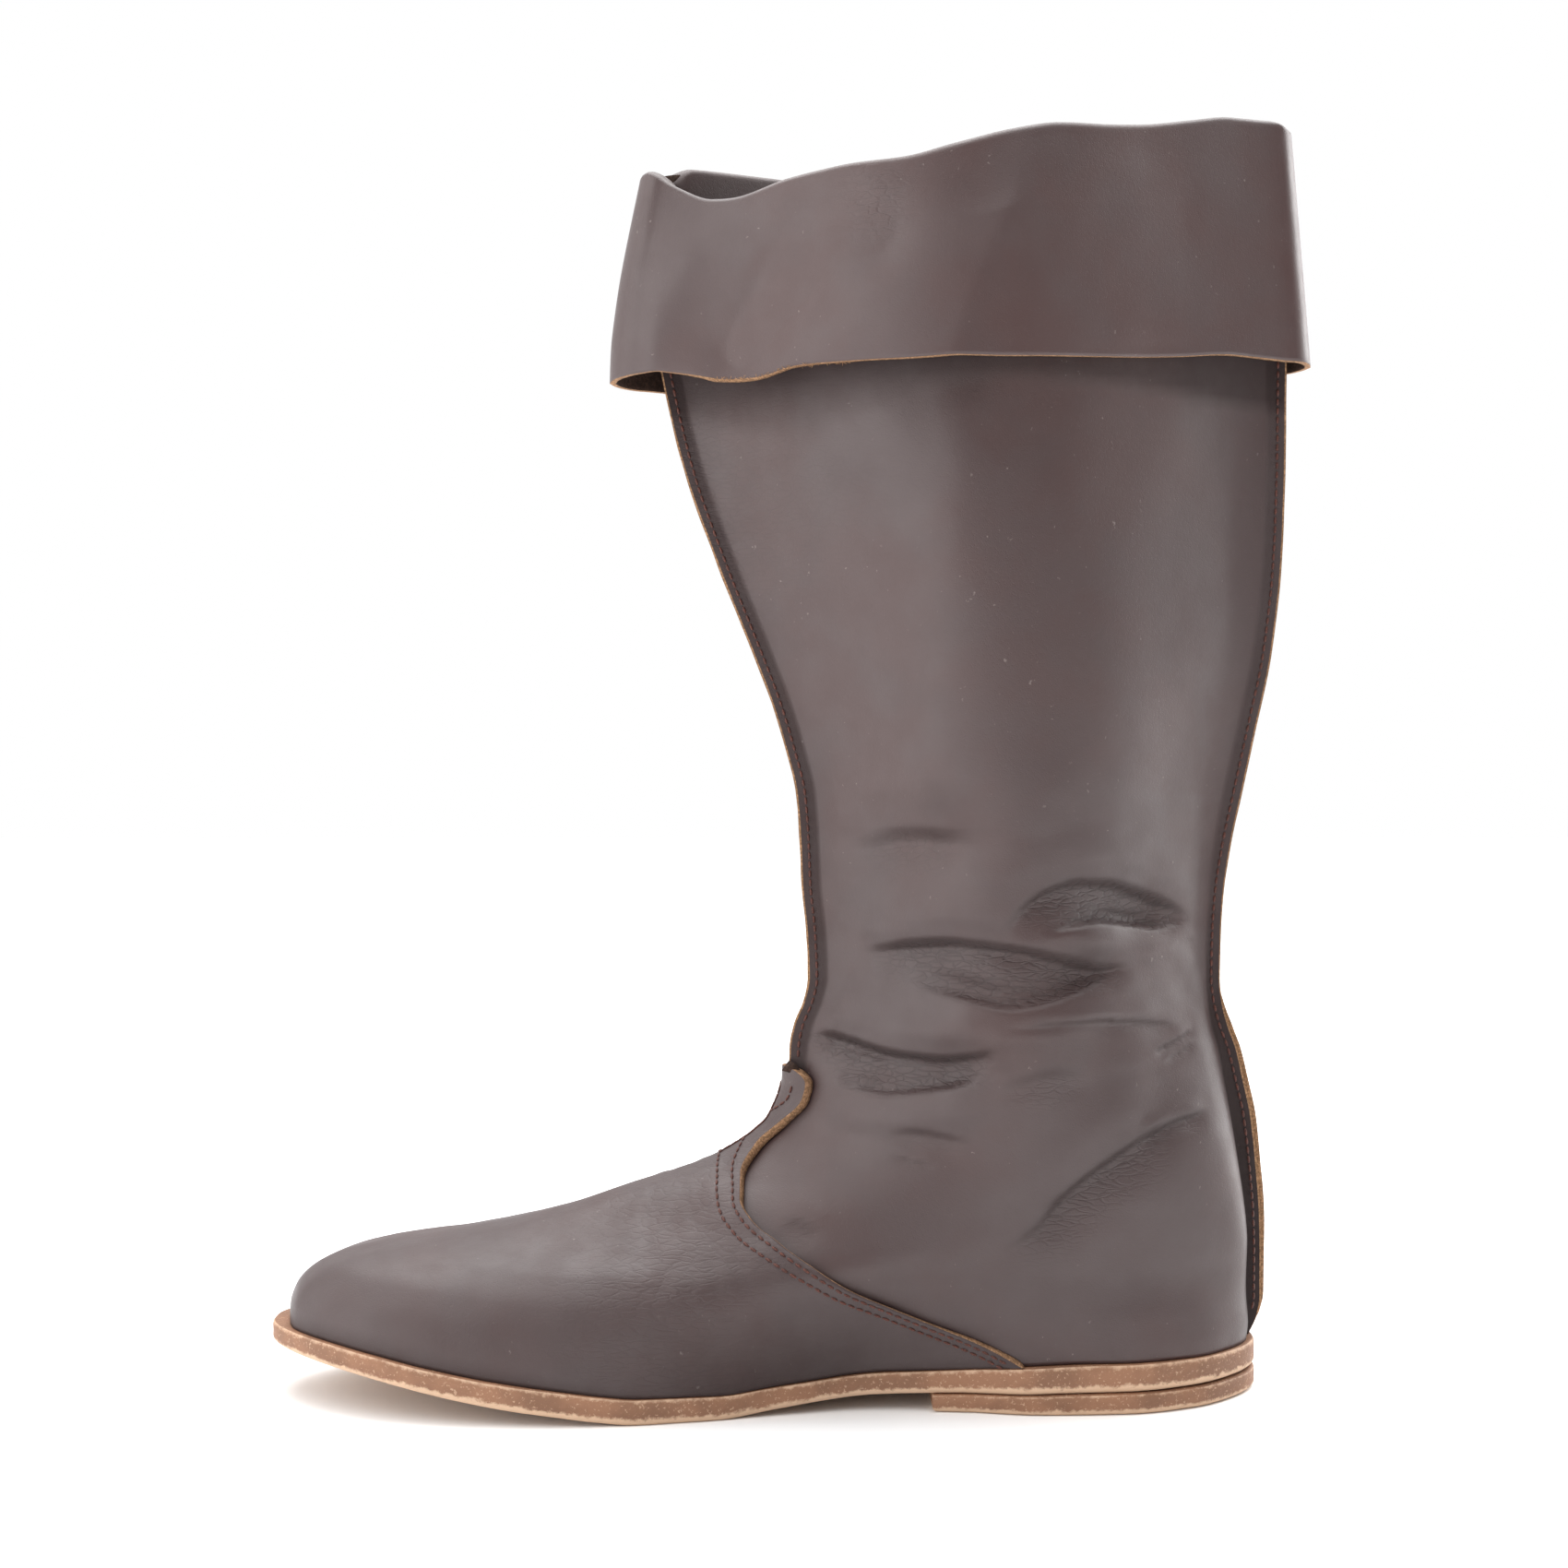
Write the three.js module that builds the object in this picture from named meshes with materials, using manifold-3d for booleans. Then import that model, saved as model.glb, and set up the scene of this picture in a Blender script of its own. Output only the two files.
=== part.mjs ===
// A tall pull-on leather boot with a turned-down cuff, one right boot standing on its sole.
// Millimetres, +Z up, toe towards -X, inner side of the foot towards -Y.
// The leg is two panels sewn back to back at the front and behind, so both seams stand proud.
// Sections of the foot and leg are closed rings, each a near side and a far side that meet in
// two narrow ends. "Along" is always measured forward from the back of the heel.
import * as THREE from 'three';
import Module from 'manifold-3d';

const wasm = await Module();
wasm.setup();

// Lengths and heights
const BOOT_LENGTH = 300;       // outsole, heel back to toe tip
const HEEL_SEAT = 38;          // heel back to the middle of the heel seat
const INSTEP_HEIGHT = 82;      // sole to the top point of the vamp
const LEG_HEIGHT = 287;        // top point of the vamp to the back of the rim
const TOE_SPRING = 15;         // floor to the underside of the toe tip
const CUFF_FRONT_STAND = 16.5; // how far the hem of the cuff stands off at the front
const CUFF_BACK_STAND = 7.8;   // the same at the back

// Widths and depths
const BALL_WIDTH = 93.2;       // outsole at the ball
const WAIST_WIDTH = 61.8;      // outsole at its narrowest
const HEEL_WIDTH = 69.2;       // outsole at the heel
const ANKLE_WIDTH = 82;        // leg over the ankle bones
const ANKLE_DEPTH = 126;       // leg front to back at its narrowest, over both seams
const LEG_WIDTH = 104;         // leg at the rim
const LEG_DEPTH = 196;         // leg front to back at the rim, over both seams

// Thicknesses
const OUTSOLE_THICKNESS = 8;
const LIFT_HEIGHT = 6.6;       // heel lift with its glue line
const LIFT_LENGTH = 101;
const INSOLE_THICKNESS = 2.5;
const UPPER_WALL = 2;
const VAMP_THICKNESS = 2;
const CUFF_THICKNESS = 1.8;
const CUFF_LIP = 0.7;          // share of the wall's top edge that the cuff rolls over

// Edges, seams and clearances
const EDGE_BEVEL = 1.5;        // lower edge of outsole and lift
const LIFT_TOP_BEVEL = 0.6;
const SEAM_DEPTH = 6;          // raised seam, from its root to its cut edge
const CLEARANCE = 0.3;         // between pieces that touch
const CUFF_CLEARANCE = 0.4;    // cuff to the sides of the leg
const RIM_CLEARANCE = 0.6;     // cuff to the wavy top edge of the leg
const INSOLE_CLEARANCE = 0.7;  // insole edge to the inside of the upper
const INNER_EDGE = 0.3;        // half the width of the hollow where it meets a seam
const SEAM_STUB = 0.8;         // shortest seam in a section that shows none

// Fineness of the faceted forms
const SIDE_STEPS = 20;
const SOLE_STEPS = 28;
const END_PULL = 8;            // how quickly a move of a section's end dies out along its side
const WELD_DIGITS = 4;         // decimals to which the points of a cutter are the same point

// Places along the outline are also counted as turns of a half circle, which rounds its ends.
function turnAt(share) {
  return Math.acos(THREE.MathUtils.clamp(1 - 2 * share, -1, 1));
}

// Outline of the outsole, near and far half width about a centre line that bends outwards.
const OUTLINE = [
  { along: 0, size: HEEL_WIDTH, half: 0.02, centre: 0.03 },
  { along: 0.03, size: HEEL_WIDTH, half: 0.262, centre: 0.028 },
  { along: 0.075, size: HEEL_WIDTH, half: 0.397, centre: 0.025 },
  { along: 0.15, size: HEEL_WIDTH, half: 0.487, centre: 0.02 },
  { along: 0.233, size: HEEL_WIDTH, half: 0.495, centre: 0.015 },
  { along: 0.317, size: WAIST_WIDTH, half: 0.506, centre: 0.018 },
  { along: 0.393, size: WAIST_WIDTH, half: 0.5, centre: 0.024 },
  { along: 0.483, size: BALL_WIDTH, half: 0.378, centre: 0.026 },
  { along: 0.567, size: BALL_WIDTH, half: 0.446, centre: 0.032 },
  { along: 0.64, size: BALL_WIDTH, half: 0.49, centre: 0.036 },
  { along: 0.707, size: BALL_WIDTH, half: 0.5, centre: 0.036 },
  { along: 0.773, size: BALL_WIDTH, half: 0.482, centre: 0.029 },
  { along: 0.833, size: BALL_WIDTH, half: 0.44, centre: 0.014 },
  { along: 0.887, size: BALL_WIDTH, half: 0.372, centre: -0.003 },
  { along: 0.933, size: BALL_WIDTH, half: 0.286, centre: -0.014 },
  { along: 0.972, size: BALL_WIDTH, half: 0.182, centre: -0.02 },
  { along: 1, size: BALL_WIDTH, half: 0.018, centre: -0.026 },
].map((row) => ({
  turn: turnAt(row.along),
  half: row.half * row.size,
  centre: row.centre * BALL_WIDTH,
}));

// Underside of the outsole, lifted by the heel lift behind and by the toe spring in front.
const UNDERSIDE = [
  { along: 0, lift: 1, spring: 0, thickness: 1.01 },
  { along: 0.18, lift: 0.98, spring: 0, thickness: 1.01 },
  { along: 0.257, lift: 0.9, spring: 0, thickness: 0.95 },
  { along: 0.327, lift: 0.84, spring: 0, thickness: 0.84 },
  { along: 0.393, lift: 0.74, spring: 0, thickness: 0.8 },
  { along: 0.443, lift: 0.54, spring: 0, thickness: 0.79 },
  { along: 0.493, lift: 0.27, spring: 0, thickness: 0.83 },
  { along: 0.545, lift: 0, spring: 0, thickness: 0.88 },
  { along: 0.62, lift: 0, spring: 0, thickness: 0.93 },
  { along: 0.66, lift: 0, spring: 0.07, thickness: 0.93 },
  { along: 0.7, lift: 0, spring: 0.18, thickness: 0.92 },
  { along: 0.747, lift: 0, spring: 0.3, thickness: 0.91 },
  { along: 0.79, lift: 0, spring: 0.44, thickness: 0.89 },
  { along: 0.837, lift: 0, spring: 0.61, thickness: 0.87 },
  { along: 0.883, lift: 0, spring: 0.77, thickness: 0.85 },
  { along: 0.93, lift: 0, spring: 0.89, thickness: 0.84 },
  { along: 1, lift: 0, spring: 1, thickness: 0.8 },
].map((row) => ({
  along: row.along,
  low: row.lift * LIFT_HEIGHT + row.spring * TOE_SPRING,
  thickness: row.thickness * OUTSOLE_THICKNESS,
}));

// How full the foot is over the outline of the sole, heel against forefoot.
const FULLNESS = [
  { along: 0, share: 1.03 },
  { along: 0.2, share: 1.02 },
  { along: 0.3, share: 0.975 },
  { along: 0.42, share: 0.955 },
  { along: 0.55, share: 0.985 },
  { along: 0.7, share: 1 },
  { along: 1, share: 1 },
];

// Sections of the foot, from the sole up to the instep. front and back are along the boot and
// rise is above the sole. sole is how far a section keeps the plan and the hollow of the sole,
// bend how far it keeps the bend of its centre line. peak is the widest place from the front,
// noses the roundness of the two ends, low when round. seams are shares of the seam depth.
const FOOT_SECTIONS = [
  {
    front: 0.978, frontRise: 0, back: 0.006, backRise: 0, sole: 1, dip: 1, bend: 1,
    size: BALL_WIDTH, half: 0.457, peak: 0.42, noses: [0.5, 0.4], seams: [0, 0],
  },
  {
    front: 0.978, frontRise: 0.052, back: -0.0033, backRise: 0.073, sole: 0.92, dip: 0.9, bend: 1,
    size: BALL_WIDTH, half: 0.461, peak: 0.43, noses: [0.5, 0.38], seams: [0, 0.5],
  },
  {
    front: 0.9723, frontRise: 0.132, back: -0.0073, backRise: 0.146, sole: 0.72, dip: 0.72, bend: 0.95,
    size: BALL_WIDTH, half: 0.458, peak: 0.44, noses: [0.5, 0.36], seams: [0, 0.8],
  },
  {
    front: 0.9497, frontRise: 0.228, back: -0.0073, backRise: 0.22, sole: 0.46, dip: 0.5, bend: 0.9,
    size: BALL_WIDTH, half: 0.442, peak: 0.46, noses: [0.52, 0.35], seams: [0, 0.85],
  },
  {
    front: 0.9043, frontRise: 0.3, back: -0.0073, backRise: 0.293, sole: 0.22, dip: 0.28, bend: 0.8,
    size: BALL_WIDTH, half: 0.418, peak: 0.5, noses: [0.56, 0.34], seams: [0, 0.85],
  },
  {
    front: 0.8113, frontRise: 0.363, back: -0.0072, backRise: 0.366, sole: 0.06, dip: 0.1, bend: 0.7,
    size: ANKLE_WIDTH, half: 0.454, peak: 0.55, noses: [0.62, 0.34], seams: [0, 0.85],
  },
  {
    front: 0.713, frontRise: 0.443, back: -0.0067, backRise: 0.451, sole: 0, dip: 0, bend: 0.6,
    size: ANKLE_WIDTH, half: 0.442, peak: 0.58, noses: [0.68, 0.36], seams: [0, 0.9],
  },
  {
    front: 0.6397, frontRise: 0.53, back: -0.0053, backRise: 0.537, sole: 0, dip: 0, bend: 0.5,
    size: ANKLE_WIDTH, half: 0.439, peak: 0.58, noses: [0.73, 0.4], seams: [0, 0.95],
  },
  {
    front: 0.567, frontRise: 0.617, back: -0.0027, backRise: 0.634, sole: 0, dip: 0, bend: 0.4,
    size: ANKLE_WIDTH, half: 0.441, peak: 0.56, noses: [0.78, 0.45], seams: [0, 1],
  },
  {
    front: 0.5173, frontRise: 0.709, back: 0, backRise: 0.732, sole: 0, dip: 0, bend: 0.3,
    size: ANKLE_WIDTH, half: 0.446, peak: 0.54, noses: [0.84, 0.52], seams: [0.05, 1.05],
  },
  {
    front: 0.4903, frontRise: 0.799, back: 0.0033, backRise: 0.829, sole: 0, dip: 0, bend: 0.2,
    size: ANKLE_WIDTH, half: 0.454, peak: 0.52, noses: [0.9, 0.62], seams: [0.2, 1.08],
  },
  {
    front: 0.4767, frontRise: 0.939, back: 0.0107, backRise: 0.951, sole: 0, dip: 0, bend: 0.1,
    size: ANKLE_WIDTH, half: 0.47, peak: 0.5, noses: [1, 0.76], seams: [0.6, 1],
  },
];

// Sections of the leg. front and back are shares of the depth that the row names, rise is a
// share of the leg height, and waves are how far a section follows the lines of hem and rim.
const LEG_SECTIONS = [
  {
    depth: ANKLE_DEPTH, front: 1.1325, back: 0.0452, rise: [0.0216, 0.0216], waves: [0, 0],
    size: ANKLE_WIDTH, half: 0.482, peak: 0.49, noses: [1.05, 0.85], seams: [0.85, 0.9],
  },
  {
    depth: ANKLE_DEPTH, front: 1.1214, back: 0.0659, rise: [0.0463, 0.0463], waves: [0, 0],
    size: ANKLE_WIDTH, half: 0.488, peak: 0.485, noses: [1.08, 0.92], seams: [0.9, 0.8],
  },
  {
    depth: ANKLE_DEPTH, front: 1.0984, back: 0.0794, rise: [0.0711, 0.0711], waves: [0, 0],
    size: ANKLE_WIDTH, half: 0.494, peak: 0.48, noses: [1.1, 0.98], seams: [0.9, 0.7],
  },
  {
    depth: ANKLE_DEPTH, front: 1.0873, back: 0.0857, rise: [0.0955, 0.0955], waves: [0, 0],
    size: ANKLE_WIDTH, half: 0.5, peak: 0.48, noses: [1.12, 1.02], seams: [0.95, 0.65],
  },
  {
    depth: ANKLE_DEPTH, front: 1.0921, back: 0.0833, rise: [0.145, 0.145], waves: [0, 0],
    size: ANKLE_WIDTH, half: 0.512, peak: 0.475, noses: [1.16, 1.08], seams: [1, 0.7],
  },
  {
    depth: ANKLE_DEPTH, front: 1.1032, back: 0.0746, rise: [0.1944, 0.1944], waves: [0, 0],
    size: ANKLE_WIDTH, half: 0.524, peak: 0.47, noses: [1.18, 1.12], seams: [1, 0.8],
  },
  {
    depth: ANKLE_DEPTH, front: 1.1079, back: 0.0563, rise: [0.2439, 0.2439], waves: [0, 0],
    size: ANKLE_WIDTH, half: 0.537, peak: 0.47, noses: [1.2, 1.15], seams: [1, 0.9],
  },
  {
    depth: LEG_DEPTH, front: 0.7179, back: 0.0204, rise: [0.2934, 0.2934], waves: [0, 0],
    size: LEG_WIDTH, half: 0.433, peak: 0.465, noses: [1.22, 1.18], seams: [1, 1],
  },
  {
    depth: LEG_DEPTH, front: 0.7352, back: 0.0046, rise: [0.3425, 0.3425], waves: [0, 0],
    size: LEG_WIDTH, half: 0.442, peak: 0.46, noses: [1.24, 1.2], seams: [1, 1],
  },
  {
    depth: LEG_DEPTH, front: 0.7571, back: -0.0112, rise: [0.392, 0.392], waves: [0, 0],
    size: LEG_WIDTH, half: 0.452, peak: 0.46, noses: [1.25, 1.2], seams: [1, 1],
  },
  {
    depth: LEG_DEPTH, front: 0.7847, back: -0.026, rise: [0.4415, 0.4415], waves: [0, 0],
    size: LEG_WIDTH, half: 0.462, peak: 0.46, noses: [1.26, 1.22], seams: [1, 1],
  },
  {
    depth: LEG_DEPTH, front: 0.8423, back: -0.0418, rise: [0.5404, 0.5404], waves: [0, 0],
    size: LEG_WIDTH, half: 0.477, peak: 0.465, noses: [1.28, 1.25], seams: [1, 1],
  },
  {
    depth: LEG_DEPTH, front: 0.8929, back: -0.0474, rise: [0.639, 0.639], waves: [0.35, 0],
    size: LEG_WIDTH, half: 0.488, peak: 0.47, noses: [1.3, 1.25], seams: [1, 1],
  },
  {
    depth: LEG_DEPTH, front: 0.926, back: -0.0492, rise: [0.735, 0.749], waves: [1, 0],
    size: LEG_WIDTH, half: 0.495, peak: 0.47, noses: [1.3, 1.25], seams: [1, 1],
  },
  {
    depth: LEG_DEPTH, front: 0.94, back: -0.0495, rise: [0.79, 0.812], waves: [0.68, 0.35],
    size: LEG_WIDTH, half: 0.497, peak: 0.47, noses: [1.3, 1.25], seams: [1, 1],
  },
  {
    depth: LEG_DEPTH, front: 0.9475, back: -0.049, rise: [0.86, 0.89], waves: [0.3, 0.72],
    size: LEG_WIDTH, half: 0.499, peak: 0.47, noses: [1.3, 1.25], seams: [1, 1],
  },
  {
    depth: LEG_DEPTH, front: 0.9515, back: -0.0485, rise: [0.9544, 1], waves: [0, 1],
    size: LEG_WIDTH, half: 0.5, peak: 0.47, noses: [1.3, 1.25], seams: [1, 1],
  },
];
const CUFF_SECTIONS = 4;       // the last ones, from the hem of the cuff up to the rim

// Drop of the wavy rim and of the hem below it, from the front (0) to the back (1) of each side,
// as shares of the leg height.
const RIM_LINE = [
  { place: 0, near: 0.005, far: 0.005 },
  { place: 0.05, near: 0.03, far: -0.001 },
  { place: 0.1, near: 0.051, far: -0.0025 },
  { place: 0.15, near: 0.057, far: -0.004 },
  { place: 0.22, near: 0.0525, far: -0.006 },
  { place: 0.3, near: 0.0545, far: -0.005 },
  { place: 0.39, near: 0.0595, far: 0 },
  { place: 0.46, near: 0.0525, far: 0.004 },
  { place: 0.54, near: 0.041, far: 0.008 },
  { place: 0.61, near: 0.0325, far: 0.01 },
  { place: 0.68, near: 0.0295, far: 0.0105 },
  { place: 0.75, near: 0.023, far: 0.01 },
  { place: 0.83, near: 0.0105, far: 0.0075 },
  { place: 0.9, near: 0.001, far: 0.003 },
  { place: 0.97, near: 0, far: 0.0005 },
  { place: 1, near: 0.005, far: 0.005 },
];
const HEM_LINE = [
  { place: 0, near: 0.003, far: 0.003 },
  { place: 0.05, near: 0.01, far: 0.017 },
  { place: 0.1, near: 0.018, far: 0.023 },
  { place: 0.15, near: 0.0202, far: 0.0255 },
  { place: 0.21, near: 0.016, far: 0.026 },
  { place: 0.3, near: 0.0195, far: 0.024 },
  { place: 0.4, near: 0.0228, far: 0.02 },
  { place: 0.5, near: 0.0222, far: 0.016 },
  { place: 0.6, near: 0.0188, far: 0.012 },
  { place: 0.7, near: 0.0136, far: 0.008 },
  { place: 0.8, near: 0.006, far: 0.004 },
  { place: 0.9, near: -0.001, far: 0.001 },
  { place: 1, near: 0, far: 0 },
];

// Stand-off of the sides of the cuff's hem, beyond the clearance, as shares of its front stand-off.
const CUFF_SIDES = [
  { place: 0, near: 0.1, far: 0.1 },
  { place: 0.06, near: 0.36, far: 0.34 },
  { place: 0.2, near: 0.5, far: 0.42 },
  { place: 0.34, near: 0.3, far: 0.34 },
  { place: 0.5, near: 0.08, far: 0.2 },
  { place: 0.75, near: 0.02, far: 0.12 },
  { place: 0.93, near: 0.14, far: 0.16 },
  { place: 1, near: 0.06, far: 0.06 },
];

// How much more than the clearance the cuff stands off beside the raised seams, which it rounds
// off, as shares of the seam depth.
const CUFF_ROUNDING = [
  { place: 0, out: 0 },
  { place: 0.03, out: 0.75 },
  { place: 0.06, out: 0.72 },
  { place: 0.1, out: 0.6 },
  { place: 0.15, out: 0.4 },
  { place: 0.2, out: 0.16 },
  { place: 0.26, out: 0 },
  { place: 0.74, out: 0 },
  { place: 0.8, out: 0.16 },
  { place: 0.85, out: 0.4 },
  { place: 0.9, out: 0.6 },
  { place: 0.94, out: 0.72 },
  { place: 0.97, out: 0.75 },
  { place: 1, out: 0 },
];

// Edge of the vamp seen from the side, from its top point down to the sole.
const VAMP_EDGE = [
  { along: 0.56, rise: 1.03 },
  { along: 0.49, rise: 1.02 },
  { along: 0.47, rise: 1 },
  { along: 0.46, rise: 0.957 },
  { along: 0.4637, rise: 0.896 },
  { along: 0.484, rise: 0.817 },
  { along: 0.511, rise: 0.728 },
  { along: 0.5253, rise: 0.638 },
  { along: 0.5253, rise: 0.565 },
  { along: 0.5163, rise: 0.511 },
  { along: 0.4893, rise: 0.442 },
  { along: 0.458, rise: 0.371 },
  { along: 0.4187, rise: 0.28 },
  { along: 0.3793, rise: 0.211 },
  { along: 0.3397, rise: 0.147 },
  { along: 0.3003, rise: 0.085 },
  { along: 0.265, rise: 0.022 },
  { along: 0.232, rise: -0.05 },
];
const VAMP_EDGE_STEPS = 30;
const VAMP_SPARE = 4;          // leg sections that its form goes on over, before it is cut
const VAMP_CUT_MARGIN = 40;    // how far the vamp's cutter reaches past the boot

// Slope of a column at one row, level where the column turns, so no curve swings past its rows.
function slopeAt(rows, by, name, i) {
  const rise = (j) => (rows[j + 1][name] - rows[j][name]) / (rows[j + 1][by] - rows[j][by]);
  if (i === 0) {
    return rise(0);
  }
  if (i === rows.length - 1) {
    return rise(i - 1);
  }
  const before = rise(i - 1);
  const after = rise(i);
  return before * after > 0 ? (2 * before * after) / (before + after) : 0;
}

// Value of one column of a table between its rows.
function tableAt(rows, by, name, value) {
  const last = rows.length - 1;
  const x = Math.min(Math.max(value, rows[0][by]), rows[last][by]);
  let i = 0;
  while (i < last - 1 && rows[i + 1][by] < x) {
    i += 1;
  }
  const span = rows[i + 1][by] - rows[i][by];
  const u = (x - rows[i][by]) / span;
  const v = 1 - u;
  return v * v * (1 + 2 * u) * rows[i][name] + u * u * (1 + 2 * v) * rows[i + 1][name]
    + u * v * span * (v * slopeAt(rows, by, name, i) - u * slopeAt(rows, by, name, i + 1));
}

const outlineHalf = (along) => tableAt(OUTLINE, 'turn', 'half', turnAt(along / BOOT_LENGTH));
const outlineCentre = (along) => tableAt(OUTLINE, 'turn', 'centre', turnAt(along / BOOT_LENGTH));
const soleLow = (along) => tableAt(UNDERSIDE, 'along', 'low', along / BOOT_LENGTH);
const soleTop = (along) => soleLow(along) + tableAt(UNDERSIDE, 'along', 'thickness', along / BOOT_LENGTH);
const SEAT_TOP = soleTop(0);

// Sections of foot and leg in millimetres, in one list from the sole to the rim.
const seamLength = (share) => Math.max(SEAM_STUB, share * SEAM_DEPTH);
const footSection = (row) => ({
  front: row.front * BOOT_LENGTH,
  back: row.back * BOOT_LENGTH,
  frontRise: row.frontRise * INSTEP_HEIGHT,
  backRise: row.backRise * INSTEP_HEIGHT,
  sole: row.sole,
  dip: row.dip,
  bend: row.bend,
  waves: [0, 0],
});
const legSection = (row) => ({
  front: row.front * row.depth,
  back: row.back * row.depth,
  frontRise: INSTEP_HEIGHT + row.rise[0] * LEG_HEIGHT,
  backRise: INSTEP_HEIGHT + row.rise[1] * LEG_HEIGHT,
  sole: 0,
  dip: 0,
  bend: 0,
  waves: row.waves,
});
const SECTIONS = [...FOOT_SECTIONS, ...LEG_SECTIONS].map((row) => ({
  ...(row.depth ? legSection(row) : footSection(row)),
  half: row.half * row.size,
  peak: row.peak,
  frontNose: row.noses[0],
  backNose: row.noses[1],
  frontSeam: seamLength(row.seams[0]),
  backSeam: seamLength(row.seams[1]),
  edge: UPPER_WALL,
})).map((section) => ({ ...section, line: section }));

// Height of the sole under a section, which hollows with the sole as far as the section dips.
const floorUnder = (section, along) => (
  SEAT_TOP + CLEARANCE + section.dip * (soleTop(along) - SEAT_TOP)
);

// The line of the section ends in the side view, with the way out from the boot at each.
function endsOf(sections, i) {
  const low = sections[Math.max(i - 1, 0)];
  const high = sections[Math.min(i + 1, sections.length - 1)];
  const height = (section, end) => floorUnder(section, section[end]) + section[`${end}Rise`];
  const out = (end, way) => {
    const line = new THREE.Vector2(high[end] - low[end], height(high, end) - height(low, end));
    return i === 0 ? new THREE.Vector2(way, 0) : new THREE.Vector2(way * line.y, -way * line.x).normalize();
  };
  return { front: out('front', 1), back: out('back', -1) };
}

// The same sections grown outwards, or inwards where the growth is below zero.
function grown(sections, growth) {
  return sections.map((section, i) => {
    const ends = endsOf(sections, i);
    const front = section.front + ends.front.x * growth;
    const back = section.back + ends.back.x * growth;
    const fall = (from, to) => section.dip * (soleTop(to) - soleTop(from));
    return {
      ...section,
      front,
      back,
      frontRise: section.frontRise + ends.front.y * growth - fall(section.front, front),
      backRise: section.backRise + ends.back.y * growth - fall(section.back, back),
      half: section.half + growth,
      edge: section.edge + growth,
    };
  });
}

// The hollow: a wall inside the sections, and ending at the root of each raised seam.
function hollowed(sections) {
  return sections.map((section, i) => {
    const ends = endsOf(sections, i);
    const frontDepth = Math.max(UPPER_WALL, section.frontSeam);
    const backDepth = Math.max(UPPER_WALL, section.backSeam);
    const front = section.front - ends.front.x * frontDepth;
    const back = section.back - ends.back.x * backDepth;
    const fall = (from, to) => section.dip * (soleTop(to) - soleTop(from));
    return {
      ...section,
      front,
      back,
      frontRise: section.frontRise - ends.front.y * frontDepth - fall(section.front, front),
      backRise: section.backRise - ends.back.y * backDepth - fall(section.back, back),
      half: section.half - UPPER_WALL,
      edge: INNER_EDGE,
      frontSeam: INNER_EDGE,
      backSeam: INNER_EDGE,
    };
  });
}

// Half width of a section's body as a share of its greatest, from front (0) to back (1).
function bodyShape(section, u) {
  const quarter = Math.PI / 2;
  const leg = u < section.peak
    ? Math.sin((quarter * u) / section.peak) ** section.frontNose
    : Math.sin((quarter * (1 - u)) / (1 - section.peak)) ** section.backNose;
  const plan = (outlineHalf((1 - u) * BOOT_LENGTH) * tableAt(FULLNESS, 'along', 'share', 1 - u))
    / (BALL_WIDTH / 2);
  return leg + section.sole * (plan - leg);
}

// Drop of a section at one place of one side, as it follows the lines of hem and rim.
function waveDrop(section, side, place) {
  const [hem, rim] = [HEM_LINE, RIM_LINE].map((line) => tableAt(line, 'place', side, place));
  return (section.waves[0] * hem + section.waves[1] * rim) * LEG_HEIGHT;
}

// How far a band stands off a section: at its front and back ends, and along its sides.
const CLOSE_FIT = { front: 0, back: 0, rise: 0, side: () => 0 };

// One section as a closed ring of points, the near side from front to back, then the far side.
// A grown or hollowed section keeps the places of its own first line, moved only near its ends,
// so that the forms worked out from one section stay parallel.
function ringOf(section, stand = CLOSE_FIT) {
  const line = section.line;
  const chord = line.front - line.back;
  const bodyChord = chord - line.frontSeam - line.backSeam;
  const bodyFront = section.front - section.frontSeam;
  const bodyBack = section.back + section.backSeam;
  const point = (k, side) => {
    const step = (1 - Math.cos((Math.PI * (k - 1)) / (SIDE_STEPS - 2))) / 2;
    const inSeam = k === 0 || k === SIDE_STEPS;
    const place = inSeam ? k / SIDE_STEPS : (line.frontSeam + bodyChord * step) / chord;
    const nearFront = (1 - place) ** END_PULL;
    const nearBack = place ** END_PULL;
    const moved = (section.front - line.front) * nearFront + (section.back - line.back) * nearBack;
    const own = line.front - chord * place + moved;
    const u = THREE.MathUtils.clamp((bodyFront - own) / (bodyFront - bodyBack), 0, 1);
    const along = own + stand.front * nearFront - stand.back * nearBack;
    const fullness = inSeam ? 0 : bodyShape(section, u);
    const half = section.edge + (section.half - section.edge) * fullness;
    const centre = section.bend * outlineCentre(along);
    const rise = section.frontRise + (section.backRise - section.frontRise) * place;
    const wave = waveDrop(section, side, THREE.MathUtils.clamp((line.front - along) / chord, 0, 1));
    const reach = half + stand.side(place, side);
    const y = side === 'near' ? centre - reach : centre + reach;
    return new THREE.Vector3(-along, y, floorUnder(section, along) + rise - wave + stand.rise);
  };
  const steps = [...Array(SIDE_STEPS + 1).keys()];
  return [...steps.map((k) => point(k, 'near')), ...steps.reverse().map((k) => point(k, 'far'))];
}

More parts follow.
